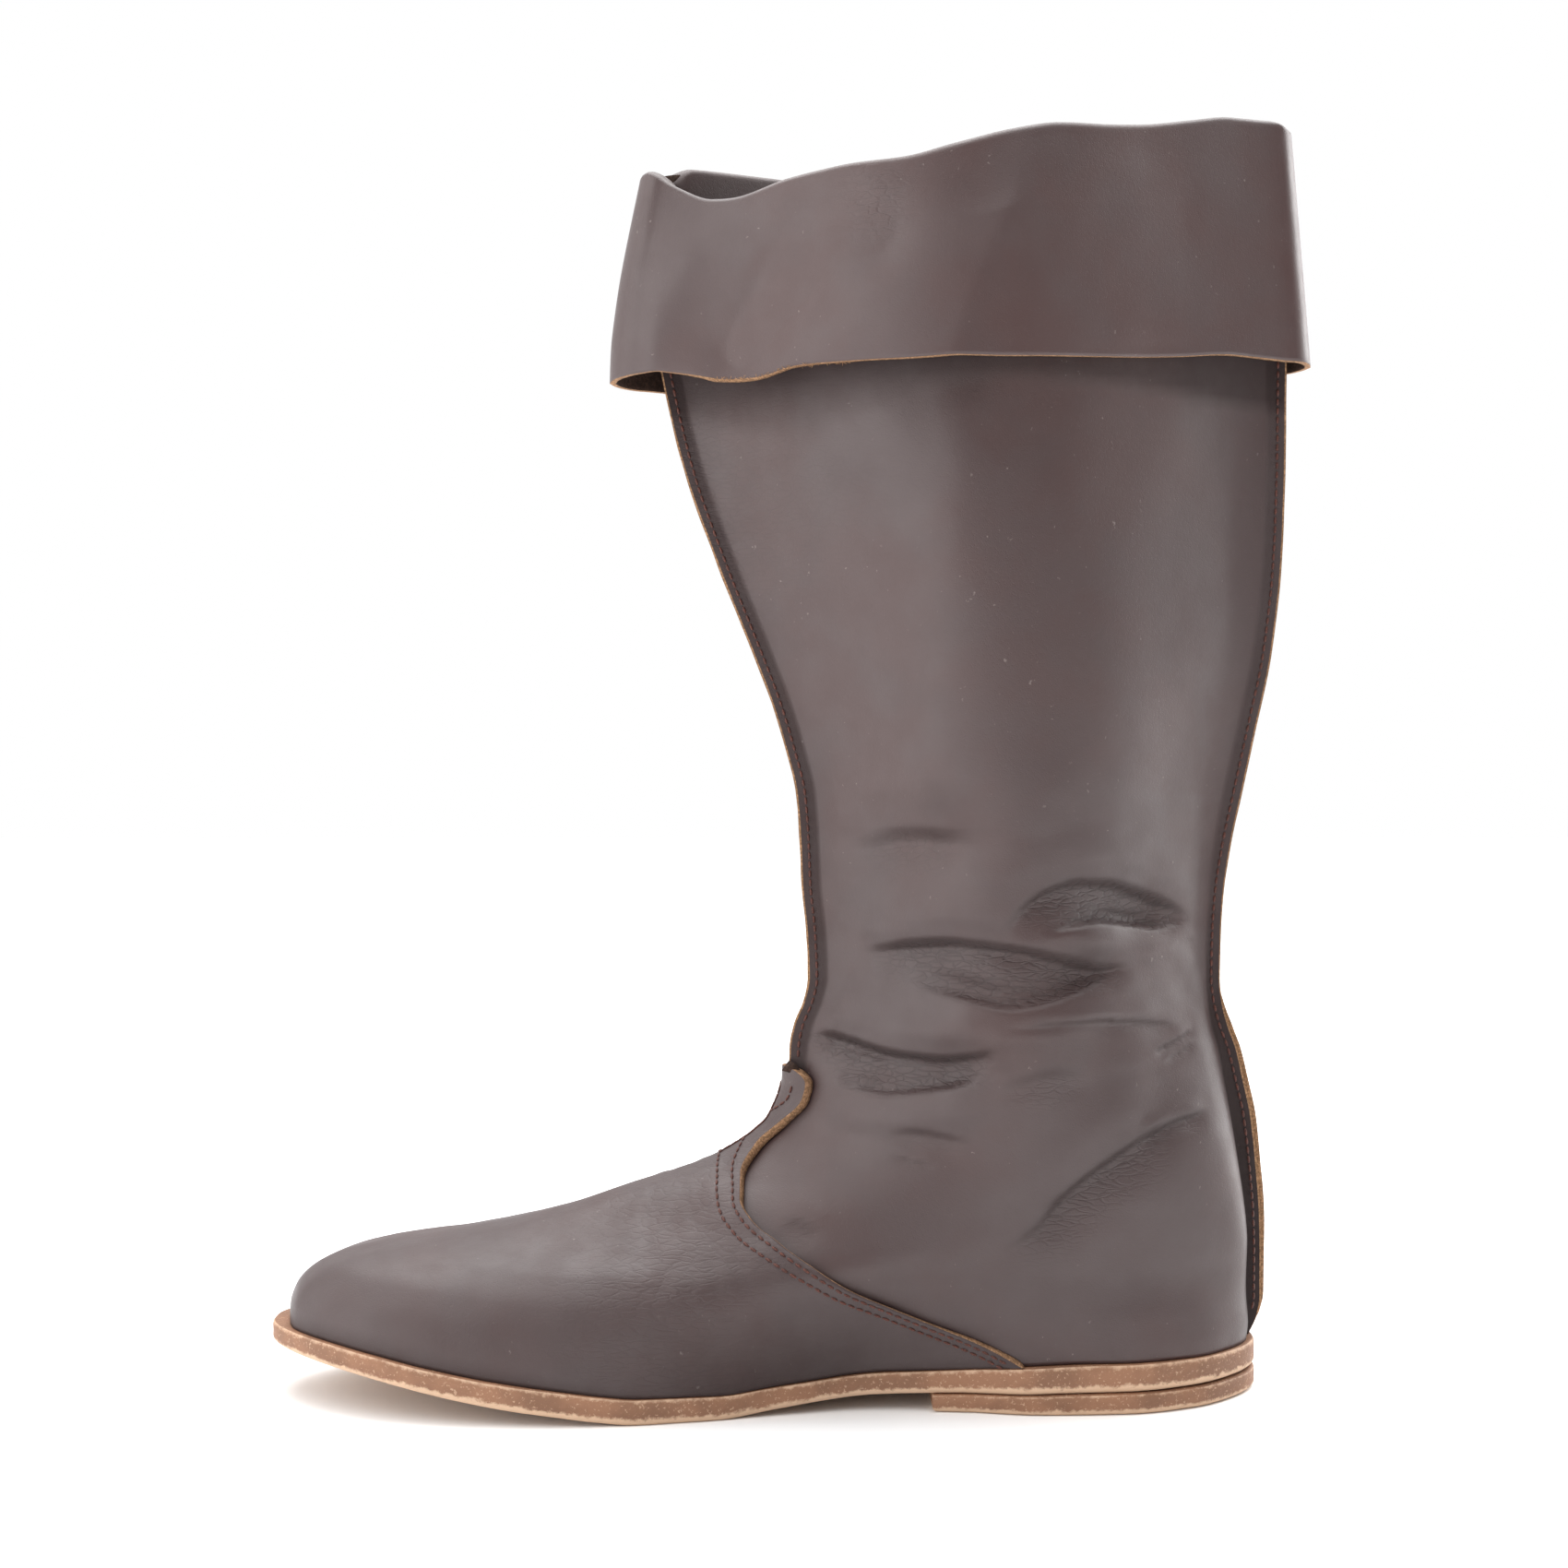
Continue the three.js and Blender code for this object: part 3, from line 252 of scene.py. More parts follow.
class Form:
    """The boot's surfaces in millimetres, from the sizes in the panel."""

    def __init__(self, sizes):
        for name in sizes.bl_rna.properties.keys():
            if name not in ("rna_type", "name"):
                setattr(self, name, getattr(sizes, name) / MM)
        widths = {"heel": self.heel_width, "waist": self.waist_width, "ball": self.ball_width,
                  "ankle": self.ankle_width, "leg": self.leg_width}
        depths = {"ankle": self.ankle_depth, "leg": self.leg_depth}
        self.outline = Table(
            [self.turn(row[0]) for row in OUTLINE_ROWS],
            [{"half": half * widths[size], "centre": centre * self.ball_width}
             for _, size, half, centre in OUTLINE_ROWS])
        self.underside = Table(
            [row[0] for row in UNDERSIDE_ROWS],
            [{"low": lift * self.lift_height + spring * self.toe_spring,
              "thickness": thickness * self.outsole_thickness}
             for _, lift, spring, thickness in UNDERSIDE_ROWS])
        self.fullness = Table([row[0] for row in FULLNESS_ROWS],
                              [{"share": row[1]} for row in FULLNESS_ROWS])
        self.cuff_sides, self.rim_line, self.hem_line = (
            Table([row[0] for row in rows], [{NEAR: row[1], FAR: row[2]} for row in rows])
            for rows in (CUFF_SIDE_ROWS, RIM_ROWS, HEM_ROWS))
        self.cuff_rounding = Table([row[0] for row in CUFF_ROUNDING_ROWS],
                                   [{"out": row[1]} for row in CUFF_ROUNDING_ROWS])
        self.seat_top = float(self.sole_top(0.0))
        rows = [self.foot_row(row, widths) for row in FOOT_ROWS]
        rows += [self.leg_row(row, widths, depths) for row in LEG_ROWS]
        self.sections = Table([row["back_rise"] for row in rows], rows)
        self.hem_level = rows[HEM_ROW]["back_rise"]
        self.rim_level = rows[-1]["back_rise"]
        self.vamp_edge = Table(
            [self.seat_top + row[1] * self.instep_height for row in VAMP_EDGE_ROWS],
            [{"along": row[0] * self.boot_length} for row in VAMP_EDGE_ROWS])

    @staticmethod
    def turn(share):
        return np.arccos(np.clip(1 - 2 * np.asarray(share, float), -1, 1))

    def seam(self, share):
        return max(SEAM_STUB, share * self.seam_depth)

    def foot_row(self, row, widths):
        front, front_rise, back, back_rise, sole, dip, bend, size, half, peak, nose, heel, fore, aft = row
        return {
            "front": front * self.boot_length, "back": back * self.boot_length,
            "front_rise": front_rise * self.instep_height, "back_rise": back_rise * self.instep_height,
            "sole": sole, "dip": dip, "bend": bend, "hem": 0.0, "rim": 0.0, "half": half * widths[size],
            "peak": peak, "front_nose": nose, "back_nose": heel,
            "front_seam": self.seam(fore), "back_seam": self.seam(aft),
        }

    def leg_row(self, row, widths, depths):
        depth, front, back, rise, back_rise, hem, rim, size, half, peak, nose, heel, fore, aft = row
        return {
            "front": front * depths[depth], "back": back * depths[depth],
            "front_rise": self.instep_height + rise * self.leg_height,
            "back_rise": self.instep_height + back_rise * self.leg_height,
            "sole": 0.0, "dip": 0.0, "bend": 0.0, "hem": hem, "rim": rim, "half": half * widths[size],
            "peak": peak, "front_nose": nose, "back_nose": heel,
            "front_seam": self.seam(fore), "back_seam": self.seam(aft),
        }

    def outline_half(self, along):
        return self.outline.at("half", self.turn(np.asarray(along) / self.boot_length))

    def outline_centre(self, along):
        return self.outline.at("centre", self.turn(np.asarray(along) / self.boot_length))

    def sole_low(self, along):
        return self.underside.at("low", np.asarray(along) / self.boot_length)

    def sole_top(self, along):
        return self.sole_low(along) + self.underside.at("thickness", np.asarray(along) / self.boot_length)

    def wave_drop(self, level, side, place):
        """How far a section drops as it follows the lines of hem and rim."""
        column = self.sections.at
        return self.leg_height * (column("hem", level) * self.hem_line.at(side, place)
                                  + column("rim", level) * self.rim_line.at(side, place))

    def floor_under(self, dip, along):
        return self.seat_top + GAP + dip * (self.sole_top(along) - self.seat_top)

    def end_at(self, level, end):
        """One end of a section in the side view, along and up."""
        column = self.sections.at
        along = column(end, level)
        rise = level if end == "back" else column("front_rise", level)
        return along, self.floor_under(column("dip", level), along) + rise

    def end_out(self, level, end, way):
        """The way out from the boot at one end of a section."""
        step = 1.5
        low = np.maximum(level - step, 0.0)
        high = np.minimum(level + step, self.rim_level)
        along_low, up_low = self.end_at(low, end)
        along_high, up_high = self.end_at(high, end)
        run, rise = along_high - along_low, up_high - up_low
        size = np.hypot(run, rise)
        out_along, out_up = way * rise / size, -way * run / size
        blend = np.clip(level / step, 0, 1)
        return way * (1 - blend) + out_along * blend, out_up * blend

    def surface(self, level, place, side, growth=0.0, stand=None, rounded=True, hollow=False,
                tent=False):
        """Points of the upper's outer face, grown outwards: along, across, up.

        place runs from the front (0) to the back (1) of one side; side is NEAR or FAR. A hollow
        surface is the inner face of the wall, which ends at the roots of the raised seams. A tent
        is stretched over the front seam instead of following it.
        """
        column = self.sections.at
        line_front, line_back = column("front", level), column("back", level)
        chord = line_front - line_back
        dip = column("dip", level)
        front_seam, back_seam = column("front_seam", level), column("back_seam", level)
        edge = self.upper_wall + growth
        fore, aft, side_growth = growth, growth, growth
        if hollow:
            fore, aft = -np.maximum(self.upper_wall, front_seam), -np.maximum(self.upper_wall, back_seam)
            front_seam = back_seam = edge = INNER_EDGE
            side_growth = -self.upper_wall
        out_front = self.end_out(level, "front", 1)
        out_back = self.end_out(level, "back", -1)
        front = line_front + out_front[0] * fore
        back = line_back + out_back[0] * aft
        fall_front = dip * (self.sole_top(front) - self.sole_top(line_front))
        fall_back = dip * (self.sole_top(back) - self.sole_top(line_back))
        front_rise = column("front_rise", level) + out_front[1] * fore - fall_front
        back_rise = level + out_back[1] * aft - fall_back
        near_front, near_back = (1 - place) ** END_PULL, place ** END_PULL
        own = line_front - chord * place + (front - line_front) * near_front + (back - line_back) * near_back
        body_front = front - front_seam
        body_back = back + back_seam
        u = np.clip((body_front - own) / (body_front - body_back), 0, 1)
        half = edge + (column("half", level) + side_growth - edge) * self.body_shape(level, u)
        if tent:
            reach = TENT_REACH * front_seam
            u_far = np.clip((body_front - front + reach) / (body_front - body_back), 0, 1)
            wide = edge + (column("half", level) + side_growth - edge) * self.body_shape(level, u_far)
            half = np.maximum(half, edge + (wide - edge) * np.clip((front - own) / reach, 0, 1))
        if rounded:
            half = half * self.nose_round(level, front - own, tent)
        along = own
        if stand is not None:
            along = own + stand["front"] * near_front - stand["back"] * near_back
            half = half + stand["side"]
        centre = column("bend", level) * self.outline_centre(along)
        wave = self.wave_drop(level, side, np.clip((line_front - along) / chord, 0, 1))
        rise = front_rise + (back_rise - front_rise) * place
        return along, centre + side * half, self.floor_under(dip, along) + rise - wave

    def nose_round(self, level, depth, tent=False):
        """Rounds the blunt front end of the foot's sections, and leaves bare raised seams alone."""
        bare = np.clip(1 - (self.sections.at("front_seam", level) - SEAM_STUB) / SEAM_STUB, 0, 1)
        if tent:
            bare = 1.0
        near = np.clip(depth / NOSE_ROUNDING, 0, 1)
        return 1 - bare * (1 - np.sqrt(1 - (1 - near) ** 2))

    def body_shape(self, level, u):
        column = self.sections.at
        peak = column("peak", level)
        fore = np.sin(np.clip(0.5 * np.pi * u / peak, 0, 0.5 * np.pi)) ** column("front_nose", level)
        aft_turn = np.clip(0.5 * np.pi * (1 - u) / (1 - peak), 0, 0.5 * np.pi)
        aft = np.sin(aft_turn) ** column("back_nose", level)
        leg = np.where(u < peak, fore, aft)
        plan = (self.outline_half((1 - u) * self.boot_length) * self.fullness.at("share", 1 - u)
                / (self.ball_width / 2))
        return leg + column("sole", level) * (plan - leg)

    def vamp_place(self, level):
        """Where the vamp's edge crosses each section, as a place from the front."""
        low, high = np.zeros_like(level), np.full_like(level, 0.98)
        for _ in range(40):
            middle = (low + high) / 2
            along, _, up = self.surface(level, middle, NEAR, GAP + self.vamp_thickness)
            ahead = along > self.vamp_edge.at("along", up)
            low, high = np.where(ahead, middle, low), np.where(ahead, high, middle)
        return low

    def level_at(self, along, up, side, growth=0.0):
        """The section and place whose surface lies at one spot of the side view."""
        low, high = np.zeros_like(along), np.full_like(along, self.rim_level)
        for _ in range(40):
            middle = (low + high) / 2
            place = self.place_at(middle, along)
            height = self.surface(middle, place, side, growth)[2]
            low, high = np.where(height < up, middle, low), np.where(height < up, high, middle)
        return low, self.place_at(low, along)

    def place_at(self, level, along):
        front, back = self.sections.at("front", level), self.sections.at("back", level)
        return np.clip((front - along) / (front - back), 0, 1)


# Making and shaping meshes

def boot_point(along, across, up):
    """Rows of points in metres in the boot's frame."""
    return np.stack([HEEL_SEAT - along, across, up], axis=-1) * MM


def grid_of(columns, rows):
    """A square grid of faces, with the place of each vertex from 0 to 1 both ways."""
    bm = bmesh.new()
    bmesh.ops.create_grid(bm, x_segments=columns, y_segments=rows, size=0.5)
    places = np.array([(v.co.x + 0.5, v.co.y + 0.5) for v in bm.verts])
    return bm, places[:, 0], places[:, 1]


def place_vertices(bm, points):
    for vertex, point in zip(bm.verts, points):
        vertex.co = point


def vertex_points(bm):
    return np.array([tuple(vertex.co) for vertex in bm.verts])


def upward(bm):
    """How far each vertex faces up, from -1 to 1."""
    bm.normal_update()
    return np.array([vertex.normal.z for vertex in bm.verts])


def tone_vertices(bm, shade, creases):
    """Keeps on each vertex how much painted shade darkens the leather there, and how finely it is creased."""
    layers = [bm.verts.layers.float.new(name) for name in ("shade", "creases")]
    for vertex, *values in zip(bm.verts, shade, creases):
        for layer, value in zip(layers, values):
            vertex[layer] = value


def face_outwards(bm, core):
    """Turns a sheet or shell so that its faces look away from the points of its core line."""
    bmesh.ops.recalc_face_normals(bm, faces=bm.faces)
    bm.normal_update()
    away = sum(face.normal.dot(face.calc_center_median() - core(face.calc_center_median())) * face.calc_area()
               for face in bm.faces)
    if away < 0:
        bmesh.ops.reverse_faces(bm, faces=bm.faces)
    bm.normal_update()


def leg_core(point):
    """The middle line of the leg and foot, from which the outside looks away."""
    along = HEEL_SEAT - point.x / MM
    foot = max(0.0, along - 100)
    return Vector((point.x + 0.3 * foot * MM - 0.02 * (1 if along < 60 else -1), 0, point.z))


def finish_piece(name, bm, materials, stands_for=()):
    mesh = bpy.data.meshes.new(name)
    bm.to_mesh(mesh)
    bm.free()
    mesh.shade_smooth()
    piece = bpy.data.objects.new(name, mesh)
    bpy.context.scene.collection.objects.link(piece)
    for material in materials:
        mesh.materials.append(material)
    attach(piece, "root")
    if stands_for:
        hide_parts(*stands_for)
    return piece


def thicken(piece, thickness, rim_material=1, inner_material=2):
    """Gives a sheet its leather: the smooth side stays, the rough side goes inwards."""
    wall = piece.modifiers.new("leather", "SOLIDIFY")
    wall.thickness = thickness * MM
    wall.offset = -1
    wall.use_even_offset = False
    wall.use_quality_normals = True
    wall.material_offset = inner_material
    wall.material_offset_rim = rim_material


# Folds of the leather along curves of the side view, in millimetres along the boot and above the
# floor at the boot's made size. Each sinks steeply under its line and comes back softly below it.
# depth is how far it sinks, steep and soft the widths of its two flanks, and swell the height of
# the ridge above the line. A soft width below 0 turns the fold over.
def fold(points, depth, steep=1.4, soft=7.0, swell=0.4, taper=0.25):
    return {"points": points, "depth": depth, "steep": steep, "soft": soft, "swell": swell, "taper": taper}


ANKLE_FOLDS = [
    fold([(82.8, 136.6), (80.9, 141.4), (77, 147.6), (69.9, 152.8), (60.1, 155.6),
          (49.5, 154.9), (37.1, 151.4), (26.4, 146.6), (18.4, 142)],
         2.6, 3.6, 10, 0.7, 0.25),
    fold([(72.5, 140.2), (61.9, 142.8), (53, 144.1), (42.4, 142.8), (31.7, 141.3), (19.3, 142.3)],
         2.7, 2.6, -7.5, 0.8, 0.3),
    fold([(60.1, 145.9), (49.5, 146.9), (38.8, 145.5), (28.2, 143.7)],
         0.5, 1, 2.6, 0.1, 0.35),
    fold([(124.9, 132.6), (116.9, 134.7), (106.2, 137), (95.6, 138.1), (85, 137.3),
          (74.3, 135.9), (61.9, 133.1), (51.3, 130.6), (38.8, 131.3)],
         3.2, 3.8, 9, 1, 0.25),
    fold([(114.2, 127.6), (104.5, 124.9), (92.1, 121.9), (79.6, 119.8),
          (69, 121.6), (60.1, 124.2), (49.5, 127.8), (39.7, 130.6)],
         3, 3.4, -8, 1, 0.3),
    fold([(108.9, 128.5), (95.6, 125.5), (83.2, 123.2), (69, 124.2)],
         0.5, 1, -2.8, 0.1, 0.35),
    fold([(140.8, 106.5), (132.9, 108.1), (124, 106.8), (113.3, 104.4),
          (100.9, 103.8), (88.5, 105.8), (81.4, 108.6)],
         3.2, 3.2, 7.5, 0.9, 0.22),
    fold([(133.2, 97.6), (125.8, 93.4), (115.1, 92.5), (104.5, 94.1), (93.8, 96.7), (84.6, 101.9)],
         2.7, 3, -6.5, 0.9, 0.3),
    fold([(131.1, 105.4), (122.2, 102.6), (113.3, 101.2)],
         0.6, 1, 2.4, 0.1, 0.3),
    fold([(127.5, 161.8), (118.7, 166.8), (108, 169.6), (95.6, 168.9), (85, 164.3)],
         1.3, 6, 12, 0.3, 0.4),
    fold([(85, 113.9), (70.8, 115), (56.6, 115.4), (42.4, 114.3), (31.7, 112.9), (22, 109.5)],
         0.7, 1.1, 3, 0.4, 0.3),
    fold([(36, 104.9), (26.9, 107.5), (20, 110.7)],
         0.7, 0.9, 2.4, 0.3, 0.3),
    fold([(32.1, 101.5), (26.4, 104), (20.2, 106.5)],
         0.5, 0.8, 2, 0.2, 0.3),
    fold([(16.7, 86.3), (22, 85.5), (28.2, 84.5), (33.9, 82.2), (40.3, 78.5)],
         1.1, 1.3, 4.5, 0.5, 0.3),
    fold([(23.8, 86.6), (33.5, 83.4), (44.2, 77.7), (53, 72.4), (60.1, 67.1),
          (66.3, 61.4), (70.8, 55.4), (77.9, 50.4), (85.7, 47.6)],
         2.4, 4.2, 9, 1, 0.35),
    fold([(116, 80.6), (106.2, 82.4), (95.6, 81.1), (87.6, 78.5)],
         0.9, 3.2, 7, 0.3, 0.4),
    fold([(113.7, 75.3), (106.1, 73.8), (99.5, 73)],
         0.4, 0.8, 2, 0.1, 0.3),
    fold([(84.6, 92.6), (77.9, 98), (67.2, 100.8), (53, 101.5)],
         0.9, 5, 9, 0.3, 0.4),
    fold([(144.4, 57.2), (139.1, 55), (132.9, 52.2)],
         0.6, 1.8, 5, 0.2, 0.35),
]

# The soft upright crest down the side of the leg, and shallow hollows below the cuff.
LEG_CREST = [
    fold([(91, 300), (93, 280), (97, 235), (100, 190), (100, 160)], -2.6, 6.0, 17.0, 0.0, 0.2),
]
LEG_HOLLOWS = [
    fold([(120, 290), (108, 297), (92, 300), (76, 299)], 1.6, 5.0, 9.0, 0.3, 0.35),
    fold([(128, 290), (122, 262), (115, 230), (110, 200)], 0.9, 12.0, 14.0, 0.0, 0.3),
]


def eased(share):
    """A share from 0 to 1 that starts and ends level."""
    return share * share * (3 - 2 * share)


def half_wave(share):
    """A share from 0 to 1 along half a wave."""
    return (1 - np.cos(np.pi * share)) / 2


def smooth_line(points, spacing=0.9):
    """A smooth curve through a few points, as closely spaced points."""
    points = np.array(points, float)
    steps = np.concatenate([[0], np.cumsum(np.hypot(*np.diff(points, axis=0).T))])
    table = Table(steps, [{"along": p[0], "up": p[1]} for p in points])
    places = np.linspace(0, steps[-1], int(steps[-1] / spacing) + 2)
    return np.stack([table.at("along", places), table.at("up", places)], axis=-1)


def off_line(line, along, up, blur):
    """Distance from a line, the side it lies on and the places along the line.

    The side is above 0 below the line, or on its left where it climbs.
    """
    off = np.stack([along, up], axis=-1)[:, None, :] - line[None]
    distance = np.linalg.norm(off, axis=2)
    closest = distance.min(axis=1)[:, None]
    weight = np.exp(-(distance ** 2 - closest ** 2) / (2 * blur * blur + 0.1 * closest ** 2))
    weight /= weight.sum(axis=1)[:, None]
    tangent = np.gradient(line, axis=0)
    way = 1 if line[0, 0] > line[-1, 0] else -1
    turn = tangent[None, :, 0] * off[:, :, 1] - tangent[None, :, 1] * off[:, :, 0]
    side = (weight * np.sign(turn)).sum(axis=1) * way
    run = (weight * np.linspace(0, 1, len(line))[None]).sum(axis=1)
    nearest = distance.argmin(axis=1) / (len(line) - 1)
    return closest[:, 0], np.clip(side * 1.5, -1, 1), (run, nearest)


def faded_ends(runs, taper):
    """Fades a fold out towards both ends of its line, and to nothing beyond them."""
    run, nearest = runs
    fade = np.clip(np.minimum(run, 1 - run) / taper, 0, 1)
    ends = np.clip(np.minimum(nearest, 1 - nearest) / (0.4 * taper), 0, 1)
    return eased(fade) * ends


def fold_depth(folds, along, up, scale=1.0):
    """How deep all folds reach at each spot of the side view, in millimetres inwards."""
    total = np.zeros_like(along)
    for row in folds:
        line = smooth_line(row["points"]) * scale
        steep, soft = abs(row["steep"]), abs(row["soft"])
        reach = 2.6 * max(steep, soft) + 3
        low, high = line.min(axis=0) - reach, line.max(axis=0) + reach
        close = np.flatnonzero((along > low[0]) & (along < high[0]) & (up > low[1]) & (up < high[1]))
        if len(close) == 0:
            continue
        distance, way, runs = off_line(line, along[close], up[close], 1.2)
        s = distance * way * (-1 if row["soft"] < 0 else 1)
        sunk = eased(np.clip(s / steep + 0.5, 0, 1)) * bell(np.maximum(s, 0), 0, soft)
        ridge = row["swell"] * bell(s, -2.2 * steep, 1.9 * steep)
        total[close] += (row["depth"] * sunk - ridge) * faded_ends(runs, row["taper"])
    return total


def crest_depth(folds, along, up, scale=1.0):
    """Ridges and hollows, the same on both flanks of their lines; steep is their blunt width."""
    total = np.zeros_like(along)
    for row in folds:
        line = smooth_line(row["points"], 1.6) * scale
        distance, _, runs = off_line(line, along, up, 2.0)
        distance = np.sqrt(distance ** 2 + row["steep"] ** 2) - row["steep"]
        total += row["depth"] * np.exp(-distance / row["soft"]) * faded_ends(runs, row["taper"])
    return total


def bell(values, middle, spread):
    """1 at the middle, falling softly to nothing on both sides."""
    return np.exp(-((values - middle) / spread) ** 2)


def ripple(points, size, seed=0):
    """Soft uneven waves over points in metres, about -1 to 1."""
    draw = np.random.default_rng(1000 + seed)
    points = np.asarray(points) / (size * MM)
    total = np.zeros(len(points))
    for _ in range(RIPPLE_WAVES):
        way = draw.normal(size=3)
        way *= draw.uniform(0.6, 1.5) / np.linalg.norm(way)
        total += np.sin(2 * np.pi * (points @ way) + draw.uniform(0, 2 * np.pi)
                        + 0.8 * np.sin(points @ draw.normal(size=3) * 2))
    return total / math.sqrt(2 * RIPPLE_WAVES)


def sink(bm, depth):
    """Moves every vertex inwards along its own normal, by millimetres."""
    bm.normal_update()
    for vertex, amount in zip(bm.verts, depth):
        vertex.co -= vertex.normal * float(amount) * MM


# Shared shader effects

def node_group(name, inputs, outputs):
    group = bpy.data.node_groups.new(name, "ShaderNodeTree")
    for label, kind, default in inputs:
        socket = group.interface.new_socket(label, in_out="INPUT", socket_type=kind)
        socket.default_value = default
    for label, kind in outputs:
        group.interface.new_socket(label, in_out="OUTPUT", socket_type=kind)
    source = group.nodes.new("NodeGroupInput")
    sink_node = group.nodes.new("NodeGroupOutput")
    return group, source, sink_node


def add(tree, kind, **settings):
    node = tree.nodes.new(kind)
    for name, value in settings.items():
        setattr(node, name, value)
    return node


def maths(tree, operation, a, b=None, clamp=False):
    node = add(tree, "ShaderNodeMath", operation=operation, use_clamp=clamp)
    for socket, value in zip(node.inputs, (a, b)):
        if value is None:
            continue
        if isinstance(value, bpy.types.NodeSocket):
            tree.links.new(value, socket)
        else:
            socket.default_value = value
    return node.outputs[0]


def ranged(tree, value, low, high, to_low=0.0, to_high=1.0):
    node = add(tree, "ShaderNodeMapRange", interpolation_type="SMOOTHSTEP")
    tree.links.new(value, node.inputs["Value"])
    node.inputs["From Min"].default_value = low
    node.inputs["From Max"].default_value = high
    node.inputs["To Min"].default_value = to_low
    node.inputs["To Max"].default_value = to_high
    return node.outputs["Result"]


def mixed(tree, factor, a, b):
    node = add(tree, "ShaderNodeMix", data_type="RGBA")
    for socket, value in ((node.inputs[0], factor), (node.inputs[6], a), (node.inputs[7], b)):
        if isinstance(value, bpy.types.NodeSocket):
            tree.links.new(value, socket)
        elif hasattr(value, "__len__"):
            socket.default_value = (*tuple(value)[:3], 1)
        else:
            socket.default_value = value
    return node.outputs[2]


def noise_of(tree, vector, scale, detail=4.0, roughness=0.55):
    node = add(tree, "ShaderNodeTexNoise")
    tree.links.new(vector, node.inputs["Vector"])
    if isinstance(scale, bpy.types.NodeSocket):
        tree.links.new(scale, node.inputs["Scale"])
    else:
        node.inputs["Scale"].default_value = scale
    node.inputs["Detail"].default_value = detail
    node.inputs["Roughness"].default_value = roughness
    return node.outputs["Fac"]


def voronoi_of(tree, vector, scale, feature="F1"):
    node = add(tree, "ShaderNodeTexVoronoi", feature=feature)
    tree.links.new(vector, node.inputs["Vector"])
    node.inputs["Scale"].default_value = scale
    return node.outputs["Distance"]


def build_grain_group():
    """Smooth leather: a height of pores and cracks, and masks of blotches, pale specks and cracks."""
    group, source, out = node_group(
        "leather_grain",
        [("Vector", "NodeSocketVector", (0, 0, 0)), ("Pores", "NodeSocketFloat", 0.5),
         ("Creases", "NodeSocketFloat", 0.0)],
        [("Height", "NodeSocketFloat"), ("Blotch", "NodeSocketFloat"), ("Specks", "NodeSocketFloat"),
         ("Cracks", "NodeSocketFloat")])
    vector = source.outputs["Vector"]
    pores = voronoi_of(group, vector, 1700)
    fine = noise_of(group, vector, 800, 5, 0.6)
    soft = noise_of(group, vector, 60, 4, 0.55)
    flattened = add(group, "ShaderNodeMapping")
    group.links.new(vector, flattened.inputs["Vector"])
    flattened.inputs["Scale"].default_value = (0.45, 0.7, 1.5)
    warped = warped_vector(group, flattened.outputs[0], 240, 0.0035)
    cells = voronoi_of(group, warped, 400, "DISTANCE_TO_EDGE")
    # Besides its height, the cracks mask darkens the colour as painted shade in the cracks.
    cracks = maths(group, "MULTIPLY", ranged(group, cells, 0.0, 0.17, 1.0, 0.0), source.outputs["Creases"])
    group.links.new(cracks, out.inputs["Cracks"])
    crack_height = maths(group, "MULTIPLY", cracks, -2.4)
    pore_height = maths(group, "MULTIPLY", ranged(group, pores, 0.0, 0.45), source.outputs["Pores"])
    waves = maths(group, "ADD", maths(group, "MULTIPLY", fine, 0.8), maths(group, "MULTIPLY", soft, 0.8))
    height = maths(group, "ADD", maths(group, "ADD", pore_height, crack_height), waves)
    group.links.new(height, out.inputs["Height"])
    group.links.new(ranged(group, noise_of(group, vector, 17, 5, 0.6), 0.4, 0.66), out.inputs["Blotch"])
    specks = ranged(group, noise_of(group, vector, 560, 2, 0.5), 0.71, 0.77)
    patches = ranged(group, noise_of(group, vector, 35, 3, 0.5), 0.42, 0.62)
    group.links.new(maths(group, "MULTIPLY", specks, patches), out.inputs["Specks"])
    return group


def warped_vector(tree, vector, scale, amount):
    """A vector pushed about by noise."""
    warp = add(tree, "ShaderNodeTexNoise")
    tree.links.new(vector, warp.inputs["Vector"])
    warp.inputs["Scale"].default_value = scale
    shift = add(tree, "ShaderNodeVectorMath", operation="MULTIPLY_ADD")
    tree.links.new(warp.outputs["Color"], shift.inputs[0])
    shift.inputs[1].default_value = (amount, amount, amount)
    tree.links.new(vector, shift.inputs[2])
    return shift.outputs[0]


def build_fibre_group():
    """Short tangled fibres of a cut or rough leather face."""
    group, source, out = node_group(
        "leather_fibres",
        [("Vector", "NodeSocketVector", (0, 0, 0)), ("Scale", "NodeSocketFloat", 900.0)],
        [("Height", "NodeSocketFloat"), ("Fibres", "NodeSocketFloat")])
    warped = warped_vector(group, source.outputs["Vector"], 260, 0.004)
    strands = noise_of(group, warped, source.outputs["Scale"], 6, 0.7)
    group.links.new(strands, out.inputs["Height"])
    group.links.new(ranged(group, strands, 0.42, 0.62), out.inputs["Fibres"])
    return group


def group_node(tree, group, **values):
    node = add(tree, "ShaderNodeGroup", node_tree=group)
    for name, value in values.items():
        if isinstance(value, bpy.types.NodeSocket):
            tree.links.new(value, node.inputs[name])
        else:
            node.inputs[name].default_value = value
    return node


def new_material(name):
    material = bpy.data.materials.new(name)
    material.use_nodes = True
    tree = material.node_tree
    shader = tree.nodes["Principled BSDF"]
    coordinates = add(tree, "ShaderNodeTexCoord").outputs["Object"]
    return material, tree, shader, coordinates


def bump(tree, shader, height, strength, distance):
    node = add(tree, "ShaderNodeBump")
    node.inputs["Strength"].default_value = strength
    node.inputs["Distance"].default_value = distance
    tree.links.new(height, node.inputs["Height"])
    tree.links.new(node.outputs["Normal"], shader.inputs["Normal"])


